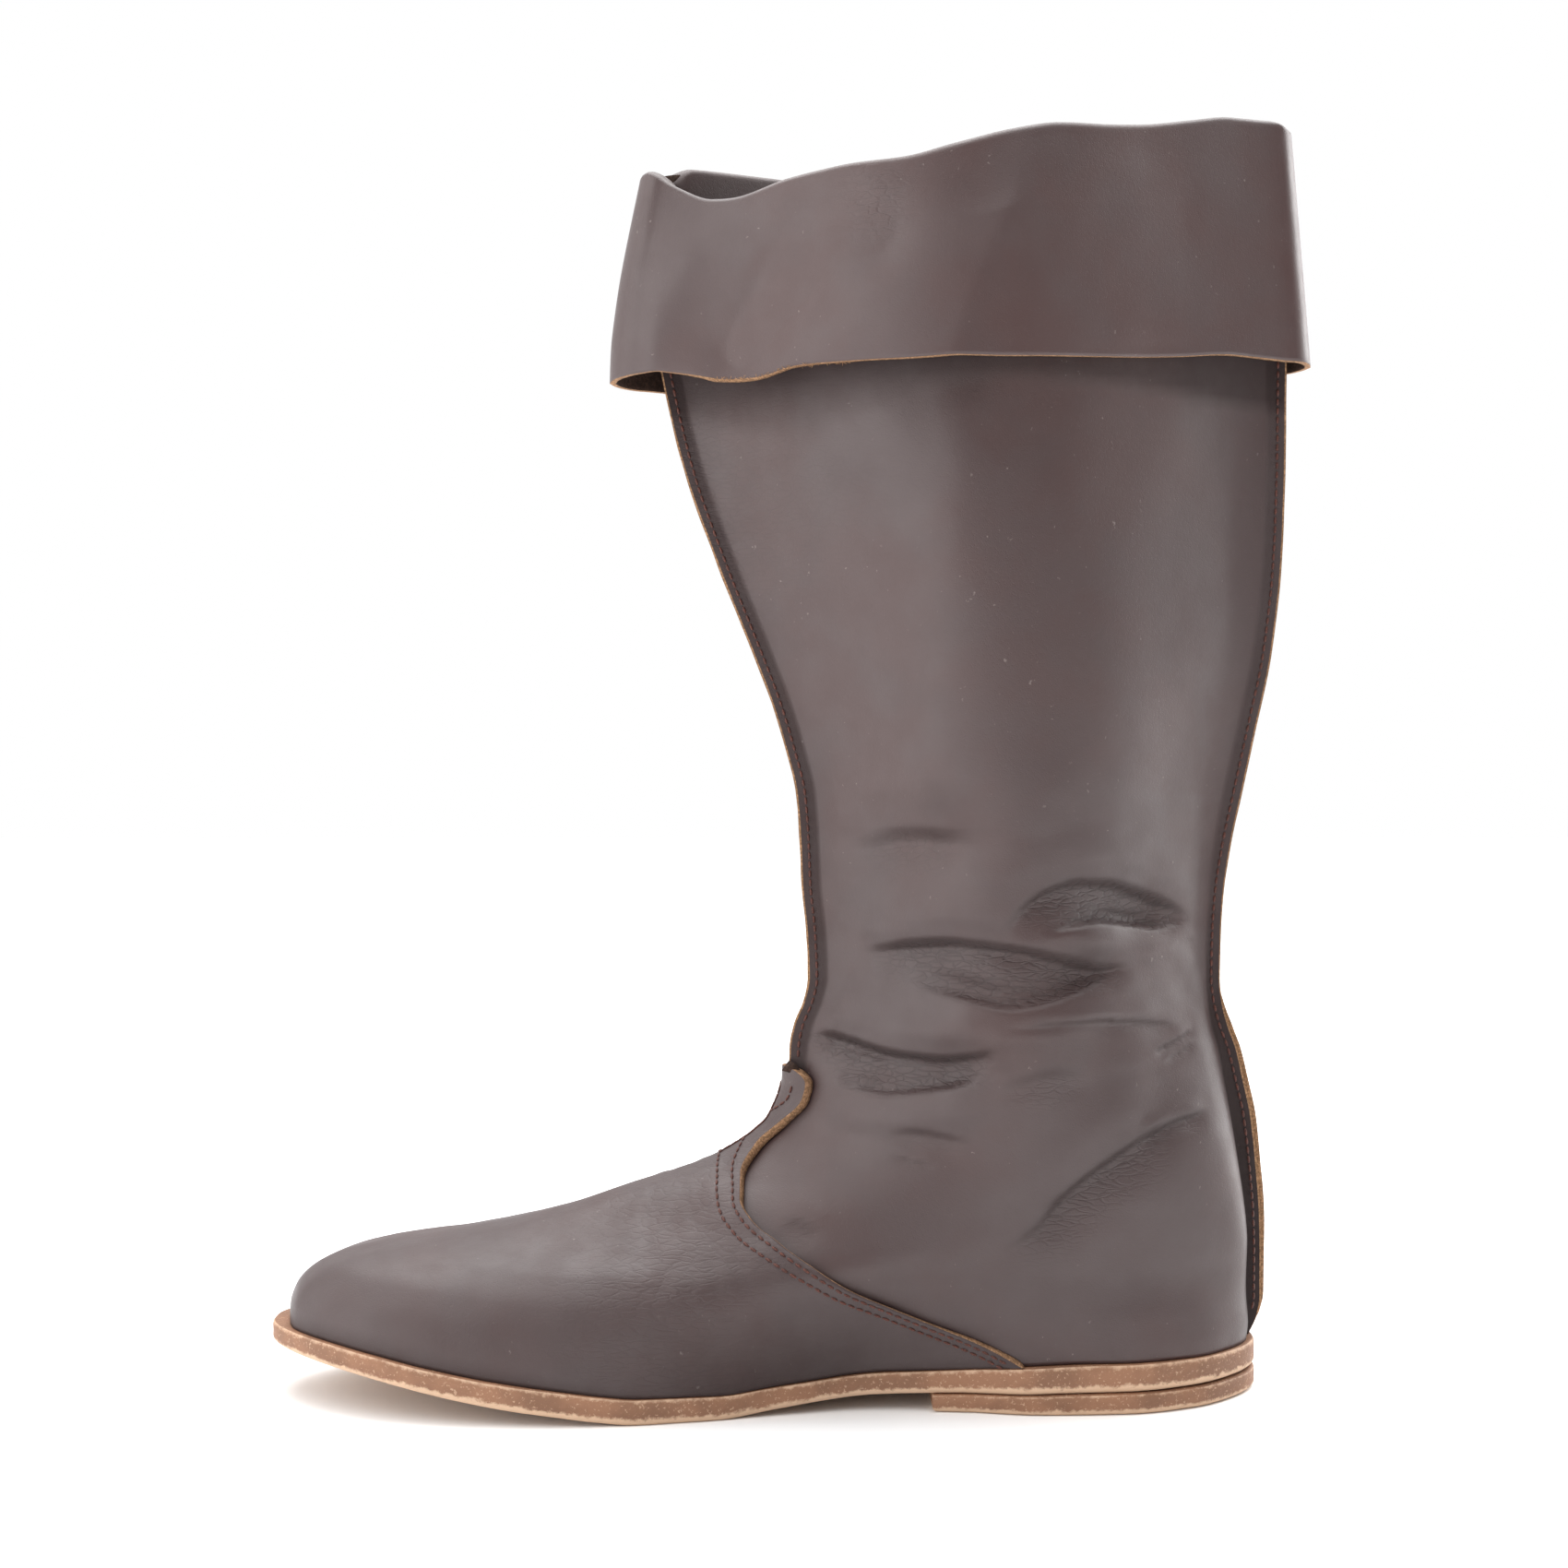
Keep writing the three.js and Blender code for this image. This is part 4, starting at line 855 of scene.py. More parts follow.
def smooth_leather(name, colours, grain_group, shade=1.0):
    """The smooth side of the upper: grey-brown, redder in blotches, with pores and pale specks.

    The shade attribute paints shade on seam margins, folds and sheltered places, and the cracks in the
    creases are painted darker as shade too; creases adds fine wrinkles. The shade argument scales the whole
    colour, giving lit and shaded copies of one leather.
    """
    material, tree, shader, vector = new_material(name)
    dark = add(tree, "ShaderNodeAttribute", attribute_name="shade").outputs["Fac"]
    creases = add(tree, "ShaderNodeAttribute", attribute_name="creases").outputs["Fac"]
    grain = group_node(tree, grain_group, Vector=vector, Pores=0.45, Creases=creases)
    base = mixed(tree, grain.outputs["Blotch"], [c * shade for c in colours.grain],
                 [c * shade for c in colours.grain_warm])
    speck = maths(tree, "MULTIPLY", grain.outputs["Specks"], 0.5)
    worn = mixed(tree, speck, base, colours.grain_pale)
    # Painted shade: the shade attribute and the cracks darken the colour towards a dark brown.
    deep = maths(tree, "ADD", dark, maths(tree, "MULTIPLY", grain.outputs["Cracks"], 0.3), clamp=True)
    shaded = mixed(tree, maths(tree, "MULTIPLY", deep, 0.8), worn, [c * 0.28 for c in colours.grain_warm])
    tree.links.new(shaded, shader.inputs["Base Color"])
    rough = ranged(tree, noise_of(tree, vector, 90, 4, 0.6), 0.3, 0.7, 0.46, 0.56)
    matt = maths(tree, "ADD", rough, maths(tree, "MULTIPLY", dark, 0.5))
    tree.links.new(matt, shader.inputs["Roughness"])
    shader.inputs["Specular IOR Level"].default_value = 0.56
    shader.inputs["Coat Weight"].default_value = 0.1
    shader.inputs["Coat Roughness"].default_value = 0.3
    bump(tree, shader, grain.outputs["Height"], 0.35, 0.00025)
    return material


def fibrous_leather(name, colour_value, dark_share, fibre_group, scale, roughness=0.9):
    """A cut edge or rough side."""
    material, tree, shader, vector = new_material(name)
    fibres = group_node(tree, fibre_group, Vector=vector, Scale=scale)
    dark = [c * dark_share for c in colour_value]
    tree.links.new(mixed(tree, fibres.outputs["Fibres"], dark, colour_value), shader.inputs["Base Color"])
    shader.inputs["Roughness"].default_value = roughness
    shader.inputs["Specular IOR Level"].default_value = 0.25
    bump(tree, shader, fibres.outputs["Height"], 0.6, 0.0006)
    return material


def sole_edge_leather(name, colours, fibre_group):
    """Burnished edge, paler along its lower bevel and upper corner, with light scuffs."""
    material, tree, shader, vector = new_material(name)
    band = add(tree, "ShaderNodeAttribute", attribute_name="edge_height").outputs["Fac"]
    fibres = group_node(tree, fibre_group, Vector=vector, Scale=800.0)
    ragged = maths(tree, "MULTIPLY", maths(tree, "SUBTRACT", noise_of(tree, vector, 420, 5, 0.7), 0.5), 0.55)
    place = maths(tree, "ADD", band, ragged)
    low = ranged(tree, place, 0.2, 0.36, 1.0, 0.0)
    high = ranged(tree, place, 0.84, 1.02, 0.0, 0.75)
    scuffs = ranged(tree, noise_of(tree, vector, 1100, 3, 0.65), 0.58, 0.68, 0.0, 0.55)
    pale = maths(tree, "MAXIMUM", maths(tree, "MAXIMUM", low, high), scuffs)
    deep = mixed(tree, ranged(tree, noise_of(tree, vector, 55, 4, 0.6), 0.35, 0.65),
                 colours.sole_edge, [c * 0.72 for c in colours.sole_edge])
    tree.links.new(mixed(tree, pale, deep, colours.sole_pale), shader.inputs["Base Color"])
    shader.inputs["Roughness"].default_value = 0.62
    bump(tree, shader, fibres.outputs["Height"], 0.45, 0.0005)
    return material


def plain_leather(name, colour_value, grain_group, roughness=0.7):
    material, tree, shader, vector = new_material(name)
    grain = group_node(tree, grain_group, Vector=vector, Pores=0.7)
    worn = [min(1.0, c * 1.25) for c in colour_value]
    tree.links.new(mixed(tree, grain.outputs["Blotch"], colour_value, worn), shader.inputs["Base Color"])
    shader.inputs["Roughness"].default_value = roughness
    bump(tree, shader, grain.outputs["Height"], 0.4, 0.0004)
    return material


def thread_finish(name, colour_value):
    material, tree, shader, vector = new_material(name)
    twist = noise_of(tree, vector, 2600, 2, 0.5)
    tree.links.new(mixed(tree, ranged(tree, twist, 0.35, 0.65), [c * 0.6 for c in colour_value],
                         [c * 1.5 for c in colour_value]), shader.inputs["Base Color"])
    shader.inputs["Roughness"].default_value = 0.6
    bump(tree, shader, twist, 0.5, 0.0003)
    return material


FINISHES = {}


def make_finishes(colours):
    grain_group, fibre_group = build_grain_group(), build_fibre_group()
    FINISHES.update(
        # Leg, vamp and cuff are one leather: the cuff is painted lighter and the vamp darker, as painted
        # light and shade.
        leg=smooth_leather("leg_leather", colours, grain_group, 0.98),
        vamp=smooth_leather("vamp_leather", colours, grain_group, 0.93),
        cuff=smooth_leather("cuff_leather", colours, grain_group, 1.12),
        raw=fibrous_leather("raw_cut_edge", colours.raw_edge, 0.45, fibre_group, 1400.0),
        flesh=fibrous_leather("rough_side", colours.flesh, 0.5, fibre_group, 900.0),
        edge=sole_edge_leather("sole_edge", colours, fibre_group),
        face=plain_leather("sole_face", colours.sole_face, grain_group),
        insole=plain_leather("footbed", colours.sole_face, grain_group, 0.8),
        thread=thread_finish("sewing_thread", colours.thread),
    )


# Pieces

LEG_COLUMNS, LEG_ROWS_FINE = 156, 286
# Rows of a panel lie closest over the ankle, where the leather creases: share of rows, level.
LEG_LEVELS = [(0.0, 0.0), (0.13, 42.0), (0.74, 172.0)]
MARGIN_STRIP = 0.045    # share of a panel's columns on each seam margin
EDGE_COLUMNS = 1        # columns of the margin that show its cut edge
EDGE_SHARE = 0.09       # their share of the margin
PROUD_EDGE = 1.7        # mm that the outer panel's margin stands past the inner one at the heel
PROUD_FOOT = 14.0       # mm above the floor where it starts
PROUD_TOP = 122.0       # mm above the floor where it ends
FAR_FOLDS = 0.8         # folds of the outer panel against those of the inner one
ANKLE_UP, ANKLE_SPREAD = 128, 40    # mm above the floor where the leg is most uneven
HEEL_UP, HEEL_FADE = 150, 40    # mm above the floor below which the back margin lies in shade
HEM_UP = 302            # mm above the floor of the cuff's hem
FRONT_TOP_UP, FRONT_TOP_SPREAD = 268, 34    # mm above the floor where the leg's front is finely creased
# The rough side behind a face takes the slot after the face's own, and its rim the next one.
CUT_SLOT, PROUD_SLOT = 2, 5


def leg_level(form, v):
    stops = [*LEG_LEVELS, (1.0, form.rim_level)]
    return np.interp(v, [s[0] for s in stops], [s[1] for s in stops])


def leg_place(form, level, u):
    """Columns of a panel, with one strip for each raised seam and closer columns beside them."""
    strip = MARGIN_STRIP
    chord = form.sections.at("front", level) - form.sections.at("back", level)
    fore = form.sections.at("front_seam", level) / chord
    aft = form.sections.at("back_seam", level) / chord
    inner = np.clip((u - strip) / (1 - 2 * strip), 0, 1)
    place = fore + (1 - fore - aft) * (0.6 * inner + 0.4 * half_wave(inner))
    place = np.where(u < strip, fore * margin_share(u / strip), place)
    return np.where(u > 1 - strip, 1 - aft * margin_share((1 - u) / strip), place)


def margin_share(share):
    """The first columns of a margin are its narrow cut edge."""
    edge = EDGE_COLUMNS / (MARGIN_STRIP * LEG_COLUMNS)
    return np.where(share < edge, share / edge * EDGE_SHARE,
                    EDGE_SHARE + (share - edge) / (1 - edge) * (1 - EDGE_SHARE))


def fin_wave(points, share):
    """How far the raised seams waver sideways, in millimetres, from their roots outwards."""
    return share * 0.3 * ripple(points * [0.2, 0, 1], 20, 15)


def leg_painted_shade(u, place, up, margin, folds, scale):
    """Painted shade: how dark the seam margins beside the raised seams, the floors of the folds and the strip
    in the cuff's shadow under its hem are painted.
    """
    near_heel = np.clip((HEEL_UP * scale - up) / HEEL_FADE, 0, 1)
    # Painted shade on the seam margins, where the bulging panels shadow them, darkest low at the heel.
    deep = np.where(u > 0.5, 0.5 + 0.5 * near_heel, 0.55)
    margins = deep * np.clip((1.1 + 0.2 * near_heel - margin) / 0.25, 0, 1)
    # Painted shadow that the cuff casts on the leg under its hem.
    reach = 5 + 11 * bell(place, 0.2, 0.17)
    hem_shadow = np.clip((up - scale * HEM_UP + reach) / reach, 0, 1) * 0.75
    return margins + 0.04 * np.maximum(folds, 0) + hem_shadow


def leg_panel(form, name, side):
    bm, u, v = grid_of(LEG_COLUMNS, LEG_ROWS_FINE)
    level = leg_level(form, v)
    place = leg_place(form, level, u)
    along, across, up = form.surface(level, place, side)
    if side == FAR:
        proud = PROUD_EDGE * np.clip((PROUD_TOP - up) / 12, 0, 1) * np.clip((up - PROUD_FOOT) / 6, 0, 1)
        along = along - proud * np.clip((u - 1 + MARGIN_STRIP) / MARGIN_STRIP, 0, 1)
    place_vertices(bm, boot_point(along, across, up))
    face_outwards(bm, leg_core)
    margin = np.minimum(u, 1 - u) / MARGIN_STRIP
    calm = np.clip((margin - 1) / 1.6, 0, 1)
    scale = form.boot_length / SOLE_LENGTH
    folds = fold_depth(ANKLE_FOLDS, along, up, scale) * (1.0 if side == NEAR else FAR_FOLDS)
    depth = folds + crest_depth(LEG_CREST + LEG_HOLLOWS, along, up, scale)
    points = vertex_points(bm)
    creased = bell(up, ANKLE_UP, ANKLE_SPREAD)
    depth += ripple(points, 42, 3 + side) * (0.28 + 0.35 * creased)
    depth += ripple(points * [1, 1, 1.8], 17, 9 + side) * 0.16 * creased
    before = upward(bm)
    sink(bm, depth * calm)
    for vertex, amount in zip(bm.verts, fin_wave(points, np.clip(1 - margin, 0, 1))):
        vertex.co.y += amount * MM
    # Painted shade on the flanks that the folds turned to face down.
    downturned_shade = np.clip(before - upward(bm) - 0.03, 0, 0.5) * calm
    # All of the leg's painted shade goes into its shade attribute.
    dark = np.clip(leg_painted_shade(u, place, up, margin, folds, scale) + 1.4 * downturned_shade, 0, 1)
    front_top = bell(up, FRONT_TOP_UP, FRONT_TOP_SPREAD) * np.clip(1 - place / 0.42, 0, 1)
    tone_vertices(bm, dark, np.clip(np.clip(folds / 2.2, 0, 1) + 0.45 * front_top, 0, 1))
    bm.verts.index_update()
    cut = margin < (EDGE_COLUMNS + 0.3) / (MARGIN_STRIP * LEG_COLUMNS)
    proud_strip = (margin_share(margin) < 0.26) & (u > 0.5) & (up < PROUD_TOP) & (side == FAR)
    for face in bm.faces:
        if all(cut[vertex.index] for vertex in face.verts):
            face.material_index = CUT_SLOT
        elif all(proud_strip[vertex.index] for vertex in face.verts):
            face.material_index = PROUD_SLOT
    smooth, rough, raw = FINISHES["leg"], FINISHES["flesh"], FINISHES["raw"]
    return finish_piece(name, bm, [smooth, rough, raw, raw, raw, smooth, raw, raw])


class BOOT_OT_leg(bpy.types.Operator):
    """Leg and quarters: two panels whose margins stand out at the front and back seams"""
    bl_idname = "boot.leg"
    bl_label = "Leg panels"

    def execute(self, context):
        form = Form(context.scene.boot_sizes)
        inner = leg_panel(form, "leg_inner_panel", NEAR)
        outer = leg_panel(form, "leg_outer_panel", FAR)
        for panel in (inner, outer):
            thicken(panel, form.upper_wall * 0.97, rim_material=2, inner_material=1)
            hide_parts("upper")
        return {"FINISHED"}


VAMP_COLUMNS, VAMP_ROWS = 184, 176
VAMP_SKIVE = 3          # columns of each side that slope down as the cut edge
VAMP_SKIVE_RUN = 1.1    # mm that the cut edge slopes over


def vamp_level(form, v, top):
    """Rows of the vamp, evenly spread along the profile of toe and instep."""
    levels = np.linspace(0, top, 600)
    along, up = form.end_at(levels, "front")
    run = np.concatenate([[0], np.cumsum(np.hypot(np.diff(along), np.diff(up)))])
    return np.interp(v * run[-1], run, levels)


def vamp_relief(points, along, up):
    """Soft unevenness of the vamp, with faint folds where the foot flexes."""
    depth = ripple(points, 70, 21) * 0.3 + ripple(points, 15, 25) * 0.07
    flexed = bell(along, 172, 26) * np.clip((up - 20) / 20, 0, 1)
    return depth + flexed * 0.22 * ripple(points * [2.2, 0.5, 1.5], 16, 31)


class BOOT_OT_vamp(bpy.types.Operator):
    """Vamp: the overlay on toe and instep, lapped over the quarters with a raw edge"""
    bl_idname = "boot.vamp"
    bl_label = "Vamp"

    def execute(self, context):
        form = Form(context.scene.boot_sizes)
        levels = np.linspace(0, form.instep_height * 1.2, 400)
        reach = form.vamp_place(levels)
        top = levels[reach > 0.004][-1]
        bm, u, v = grid_of(VAMP_COLUMNS, VAMP_ROWS)
        level = vamp_level(form, v, top)
        half_columns = VAMP_COLUMNS / 2
        column = np.abs(2 * u - 1) * half_columns
        side_share = np.clip(column / (half_columns - VAMP_SKIVE), 0, 1)
        skive = np.clip((column - half_columns + VAMP_SKIVE) / VAMP_SKIVE, 0, 1)
        chord = form.sections.at("front", level) - form.sections.at("back", level)
        place = (0.4 * side_share + 0.6 * side_share ** 2) * form.vamp_place(level)
        place += skive * VAMP_SKIVE_RUN / chord
        growth = GAP + form.vamp_thickness * (1 - skive ** 1.6 * 0.92)
        sides = [form.surface(level, place, side, growth, tent=True) for side in (NEAR, FAR)]
        along, across, up = (np.where(u < 0.5, a, b) for a, b in zip(*sides))
        place_vertices(bm, boot_point(along, across, up))
        face_outwards(bm, leg_core)
        sink(bm, vamp_relief(vertex_points(bm), along, up) * (1 - skive))
        # Painted shade: darker just above the sole and low in the arch, where the vamp faces down.
        over_sole = up - form.sole_top(along)
        low = np.maximum(np.clip(1 - over_sole / 6, 0, 1) * 0.5,
                         np.clip(1 - over_sole / 28, 0, 1) * 0.7 * bell(along, 150, 45))
        tone_vertices(bm, low, bell(along, 176, 30) * 0.35)
        raw = dict(zip(bm.verts, skive > 0.01))
        for face in bm.faces:
            if sum(raw[vertex] for vertex in face.verts) >= 2:
                face.material_index = 1
        materials = [FINISHES["vamp"], FINISHES["raw"], FINISHES["flesh"], FINISHES["flesh"]]
        piece = finish_piece("vamp_overlay", bm, materials, ("vamp",))
        weights = piece.vertex_groups.new(name="leather")
        for index, thin in enumerate(skive):
            weights.add([index], float(1 - 0.85 * thin), "REPLACE")
        thicken(piece, form.vamp_thickness)
        piece.modifiers["leather"].vertex_group = weights.name
        piece.modifiers["leather"].thickness_vertex_group = 0.0
        return {"FINISHED"}


CUFF_COLUMNS, CUFF_ROWS = 280, 84
CUFF_OUTSIDE = 0.76     # share of the cuff's rows on its outer face
CUFF_ROLL = 0.13        # share over the top edge; the rest is the flap inside
CUFF_FLAP = 11.0        # mm that the cuff reaches down inside the leg
CUFF_FLAP_ENDS = 1.0    # mm that the flap stays back from the roots of the seams
CUFF_ROOM = 0.6         # mm that the cuff's folds may sink at the rim, and more towards the hem
TIP_RADIUS = 4.2        # mm, rounding of the cuff's narrow front and back

# Soft ridges (depth below 0) and hollows of the cuff's inner side.
CUFF_FOLDS = [
    fold([(76, 376), (79, 353), (87, 332), (96, 308), (100, 290)], -3.2, 1.6, 13.0, taper=0.12),
    fold([(109, 372), (111, 357), (117, 338), (121, 322)], 1.3, 2.5, 7.0, taper=0.3),
    fold([(122, 362), (137, 339), (154, 317), (167, 298)], 4.2, 4.0, 10.0, taper=0.2),
    fold([(160, 360), (173, 339), (184, 317), (192, 298)], -2.6, 4.0, 11.0, taper=0.2),
    fold([(40, 372), (38, 340), (34, 308)], -0.9, 6.0, 16.0, taper=0.2),
]


def cuff_surface(form, u, v):
    """The cuff's visible face: u goes round the leg, v from the hem over the rim to the flap."""
    near_side = u < 0.5
    share = np.where(near_side, 2 * u, 2 - 2 * u)
    place = 0.5 * share + 0.5 * half_wave(share)
    outer = np.clip(v / CUFF_OUTSIDE, 0, 1)
    roll = np.clip((v - CUFF_OUTSIDE) / CUFF_ROLL, 0, 1)
    flap = np.clip((v - CUFF_OUTSIDE - CUFF_ROLL) / (1 - CUFF_OUTSIDE - CUFF_ROLL), 0, 1)
    drop = 1 - outer
    thick = form.cuff_thickness
    out = CUFF_GAP + thick
    level = form.rim_level + (form.hem_level - form.rim_level) * drop
    inner_level = form.rim_level - flap * CUFF_FLAP
    stand_front = out + drop * (form.front_stand - out)
    stand_back = out + drop * (form.back_stand - out)
    rounding = form.cuff_rounding.at("out", place) * form.seam_depth
    results = []
    for side in (NEAR, FAR):
        hang = drop * form.front_stand * form.cuff_sides.at(side, place)
        stand = {"front": stand_front, "back": stand_back, "side": out + rounding + hang}
        outside = list(form.surface(level, place, side, 0.0, stand, rounded=False))
        outside[1] *= rounded_tips(place, outside[0], form, level, stand, False)
        stand = {"front": -CUFF_FLAP_ENDS, "back": -CUFF_FLAP_ENDS, "side": -out}
        inside = list(form.surface(inner_level, place, side, 0.0, stand, rounded=False, hollow=True))
        reach = np.maximum(side * inside[1], INNER_EDGE)
        inside[1] = side * reach * rounded_tips(place, inside[0], form, inner_level, stand, True)
        inside[2] = level_seams(form, inner_level, place, side, inside)
        turned = half_wave(roll)
        over = (RIM_GAP + thick) * np.sin(np.pi * roll)
        points = [a + (b - a) * turned for a, b in zip(outside, inside)]
        points[2] = points[2] + over
        results.append(points)
    return (*(np.where(near_side, a, b) for a, b in zip(*results)), drop, place, near_side)


def level_seams(form, level, place, side, points):
    """Heights of the flap, whose two sides meet at one height in front and behind."""
    at = form.place_at(level, points[0])
    own, other = (form.wave_drop(level, way, at) for way in (side, -side))
    apart = np.clip(1 - np.minimum(place, 1 - place) / 0.05, 0, 1)
    return points[2] + (own - other) * 0.5 * eased(apart)


def rounded_tips(place, along, form, level, stand, hollow):
    """A share that rounds a section's narrow ends down to nothing."""
    still = {**stand, "side": 0.0}
    tips = [form.surface(level, np.full_like(place, end), NEAR, 0.0, still, False, hollow)[0]
            for end in (0.0, 1.0)]
    near = np.clip(np.minimum(tips[0] - along, along - tips[1]) / TIP_RADIUS, 0, 1)
    return np.sqrt(1 - (1 - near) ** 2)


class BOOT_OT_cuff(bpy.types.Operator):
    """Cuff: the band turned down over the rim, standing off the leg at its hem"""
    bl_idname = "boot.cuff"
    bl_label = "Cuff"

    def execute(self, context):
        form = Form(context.scene.boot_sizes)
        bm, u, v = grid_of(CUFF_COLUMNS, CUFF_ROWS)
        along, across, up, drop, place, near_side = cuff_surface(form, u, v)
        place_vertices(bm, boot_point(along, across, up))
        outside = v <= CUFF_OUTSIDE
        scale = form.boot_length / SOLE_LENGTH
        depth = crest_depth(CUFF_FOLDS, along, up, scale) * np.where(near_side, 1.0, 0.5)
        room = np.clip(drop * 3, 0, 1) * np.clip(np.minimum(place, 1 - place) / 0.05, 0, 1)
        points = vertex_points(bm)
        depth += ripple(points, 75, 41) * 0.6 * drop + ripple(points, 24, 44) * 0.1
        bmesh.ops.recalc_face_normals(bm, faces=bm.faces)
        bm.normal_update()
        away = sum(vertex.normal.dot(vertex.co - leg_core(vertex.co))
                   for vertex, out in zip(bm.verts, outside) if out)
        if away < 0:
            bmesh.ops.reverse_faces(bm, faces=bm.faces)
        sink(bm, np.clip(depth * outside * room, -4, CUFF_ROOM + 3 * drop))
        # Painted shade on the flap turned in over the rim.
        inner = np.clip(v / CUFF_OUTSIDE - 1, 0, 0.1) * 1.5
        tone_vertices(bm, inner, 0.5 * bell(along, 118, 9) * bell(up, 350, 13))
        bmesh.ops.remove_doubles(bm, verts=bm.verts, dist=0.00002)
        materials = [FINISHES["cuff"], FINISHES["raw"], FINISHES["flesh"]]
        piece = finish_piece("turned_cuff", bm, materials, ("cuff",))
        thicken(piece, form.cuff_thickness)
        return {"FINISHED"}


SOLE_COLUMNS, SOLE_ROWS = 14, 150

# Side of outsole and lift from top to bottom: inset in mm, share of the height that is left.
OUTSOLE_SIDE = [
    (0.35, 0.985), (0.12, 0.94), (0.0, 0.86), (-0.02, 0.72), (0.02, 0.56), (0.02, 0.42),
    (0.0, 0.3), (0.08, 0.22), (0.45, 0.12), (0.95, 0.045), (1.5, 0.0),
]
LIFT_SIDE = [
    (0.15, 0.95), (0.0, 0.88), (0.0, 0.7), (0.05, 0.5), (0.02, 0.34), (0.1, 0.24), (0.5, 0.12),
    (1.0, 0.04), (1.5, 0.0),
]


TOP_INSET = 0.7         # mm from the outline to the edge of the upper face
TOP_SHADE = 0.62        # the upper face is toned like this share of the edge's height
# Unevenness of the cut side: size and height of its waves in mm, and where they start.
EDGE_WAVES = [(9, 0.12, 0), (2.6, 0.07, 5)]


def slab(form, name, length_mm, top, low, side_rows, node, seed):
    """A layer of sole leather: a grid cut to the outline, its side drawn down row by row."""
    bm, u, v = grid_of(SOLE_COLUMNS, SOLE_ROWS)
    heights = bm.verts.layers.float.new("edge_height")
    share = half_wave(v)

    def ring(across_share, along_share, inset, height):
        outer = length_mm * along_share
        along = inset + (length_mm - 2 * inset) * along_share
        half = np.maximum(form.outline_half(outer) - inset, 0.3)
        across = form.outline_centre(outer) + (2 * across_share - 1) * half
        return boot_point(along, across, low(along) + (top(along) - low(along)) * height)

    place_vertices(bm, ring(u, share, TOP_INSET, 1.0))
    for vertex in bm.verts:
        vertex[heights] = TOP_SHADE
    rim = {v: i for i, v in enumerate(bm.verts)}
    edges = [edge for edge in bm.edges if edge.is_boundary]
    places = {vertex: (u[i], share[i]) for vertex, i in rim.items()}
    side_faces = []
    for inset, height in side_rows:
        grown = bmesh.ops.extrude_edge_only(bm, edges=edges)["geom"]
        new = [item for item in grown if isinstance(item, bmesh.types.BMVert)]
        side_faces += [item for item in grown if isinstance(item, bmesh.types.BMFace)]
        edges = [item for item in grown if isinstance(item, bmesh.types.BMEdge) and item.is_boundary]
        origins = {}
        for edge in {edge for vertex in new for edge in vertex.link_edges}:
            a, b = edge.verts
            if a in places and b not in places:
                origins[b] = places[a]
            elif b in places and a not in places:
                origins[a] = places[b]
        places = {vertex: origins[vertex] for vertex in new}
        spots = np.array([places[vertex] for vertex in new])
        points = ring(spots[:, 0], spots[:, 1], inset, height)
        for vertex, point in zip(new, points):
            vertex.co = point
            vertex[heights] = height
            wobble = sum(noise.noise(Vector(point) / (size * MM) + Vector((seed, start, 0))) * rise
                         for size, rise, start in EDGE_WAVES)
            direction = Vector((0, point[1], 0)).normalized() if abs(point[1]) > 0.004 else Vector()
            vertex.co += direction * wobble * MM
    bottom = bmesh.ops.duplicate(bm, geom=[f for f in bm.faces if f not in set(side_faces)])
    bottom_verts = [item for item in bottom["geom"] if isinstance(item, bmesh.types.BMVert)]
    source = bottom["vert_map"]
    spots = np.array([(u[rim[source[vertex]]], share[rim[source[vertex]]]) for vertex in bottom_verts])
    for vertex, point in zip(bottom_verts, ring(spots[:, 0], spots[:, 1], side_rows[-1][0], 0.0)):
        vertex.co = point
        vertex[heights] = 0.0
    bmesh.ops.remove_doubles(bm, verts=bm.verts, dist=0.0003)
    under = {item for item in bottom["geom"] if isinstance(item, bmesh.types.BMFace)}
    for face in bm.faces:
        face.material_index = 1 if face in under else 0
    bmesh.ops.recalc_face_normals(bm, faces=bm.faces)
    return finish_piece(name, bm, [FINISHES["edge"], FINISHES["face"]], (node,))


class BOOT_OT_sole(bpy.types.Operator):
    """Outsole and heel lift with their burnished, bevelled edges, and the footbed's finish"""
    bl_idname = "boot.sole"
    bl_label = "Sole"

    def execute(self, context):
        form = Form(context.scene.boot_sizes)
        slab(form, "outsole_layer", form.boot_length, form.sole_top, form.sole_low,
             OUTSOLE_SIDE, "outsole", 0.0)
        slab(form, "heel_lift_layer", LIFT_LENGTH, lambda along: form.sole_low(along) - GAP,
             lambda along: np.zeros_like(along), LIFT_SIDE, "heel_lift", 4.0)
        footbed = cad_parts["insole"]
        footbed.data.materials.clear()
        footbed.data.materials.append(FINISHES["insole"])
        return {"FINISHED"}


STITCH_RISE = 0.18          # mm that the thread's middle lies over the leather


def add_stitch(bm, centre, direction, normal, size, radius):
    """One stitch: a small rounded bar that sinks into the leather at both ends."""
    x = direction.normalized()
    z = (normal - normal.dot(x) * x).normalized()
    y = z.cross(x)
    turn = Matrix((x, y, z)).transposed().to_4x4()
    scale = Matrix.Diagonal((size / 2, radius, radius * 0.8, 1))
    matrix = Matrix.Translation(centre) @ turn @ scale
    lying = Matrix.Rotation(math.pi / 2, 4, "Y")
    bmesh.ops.create_uvsphere(bm, u_segments=6, v_segments=6, radius=1, matrix=matrix @ lying)


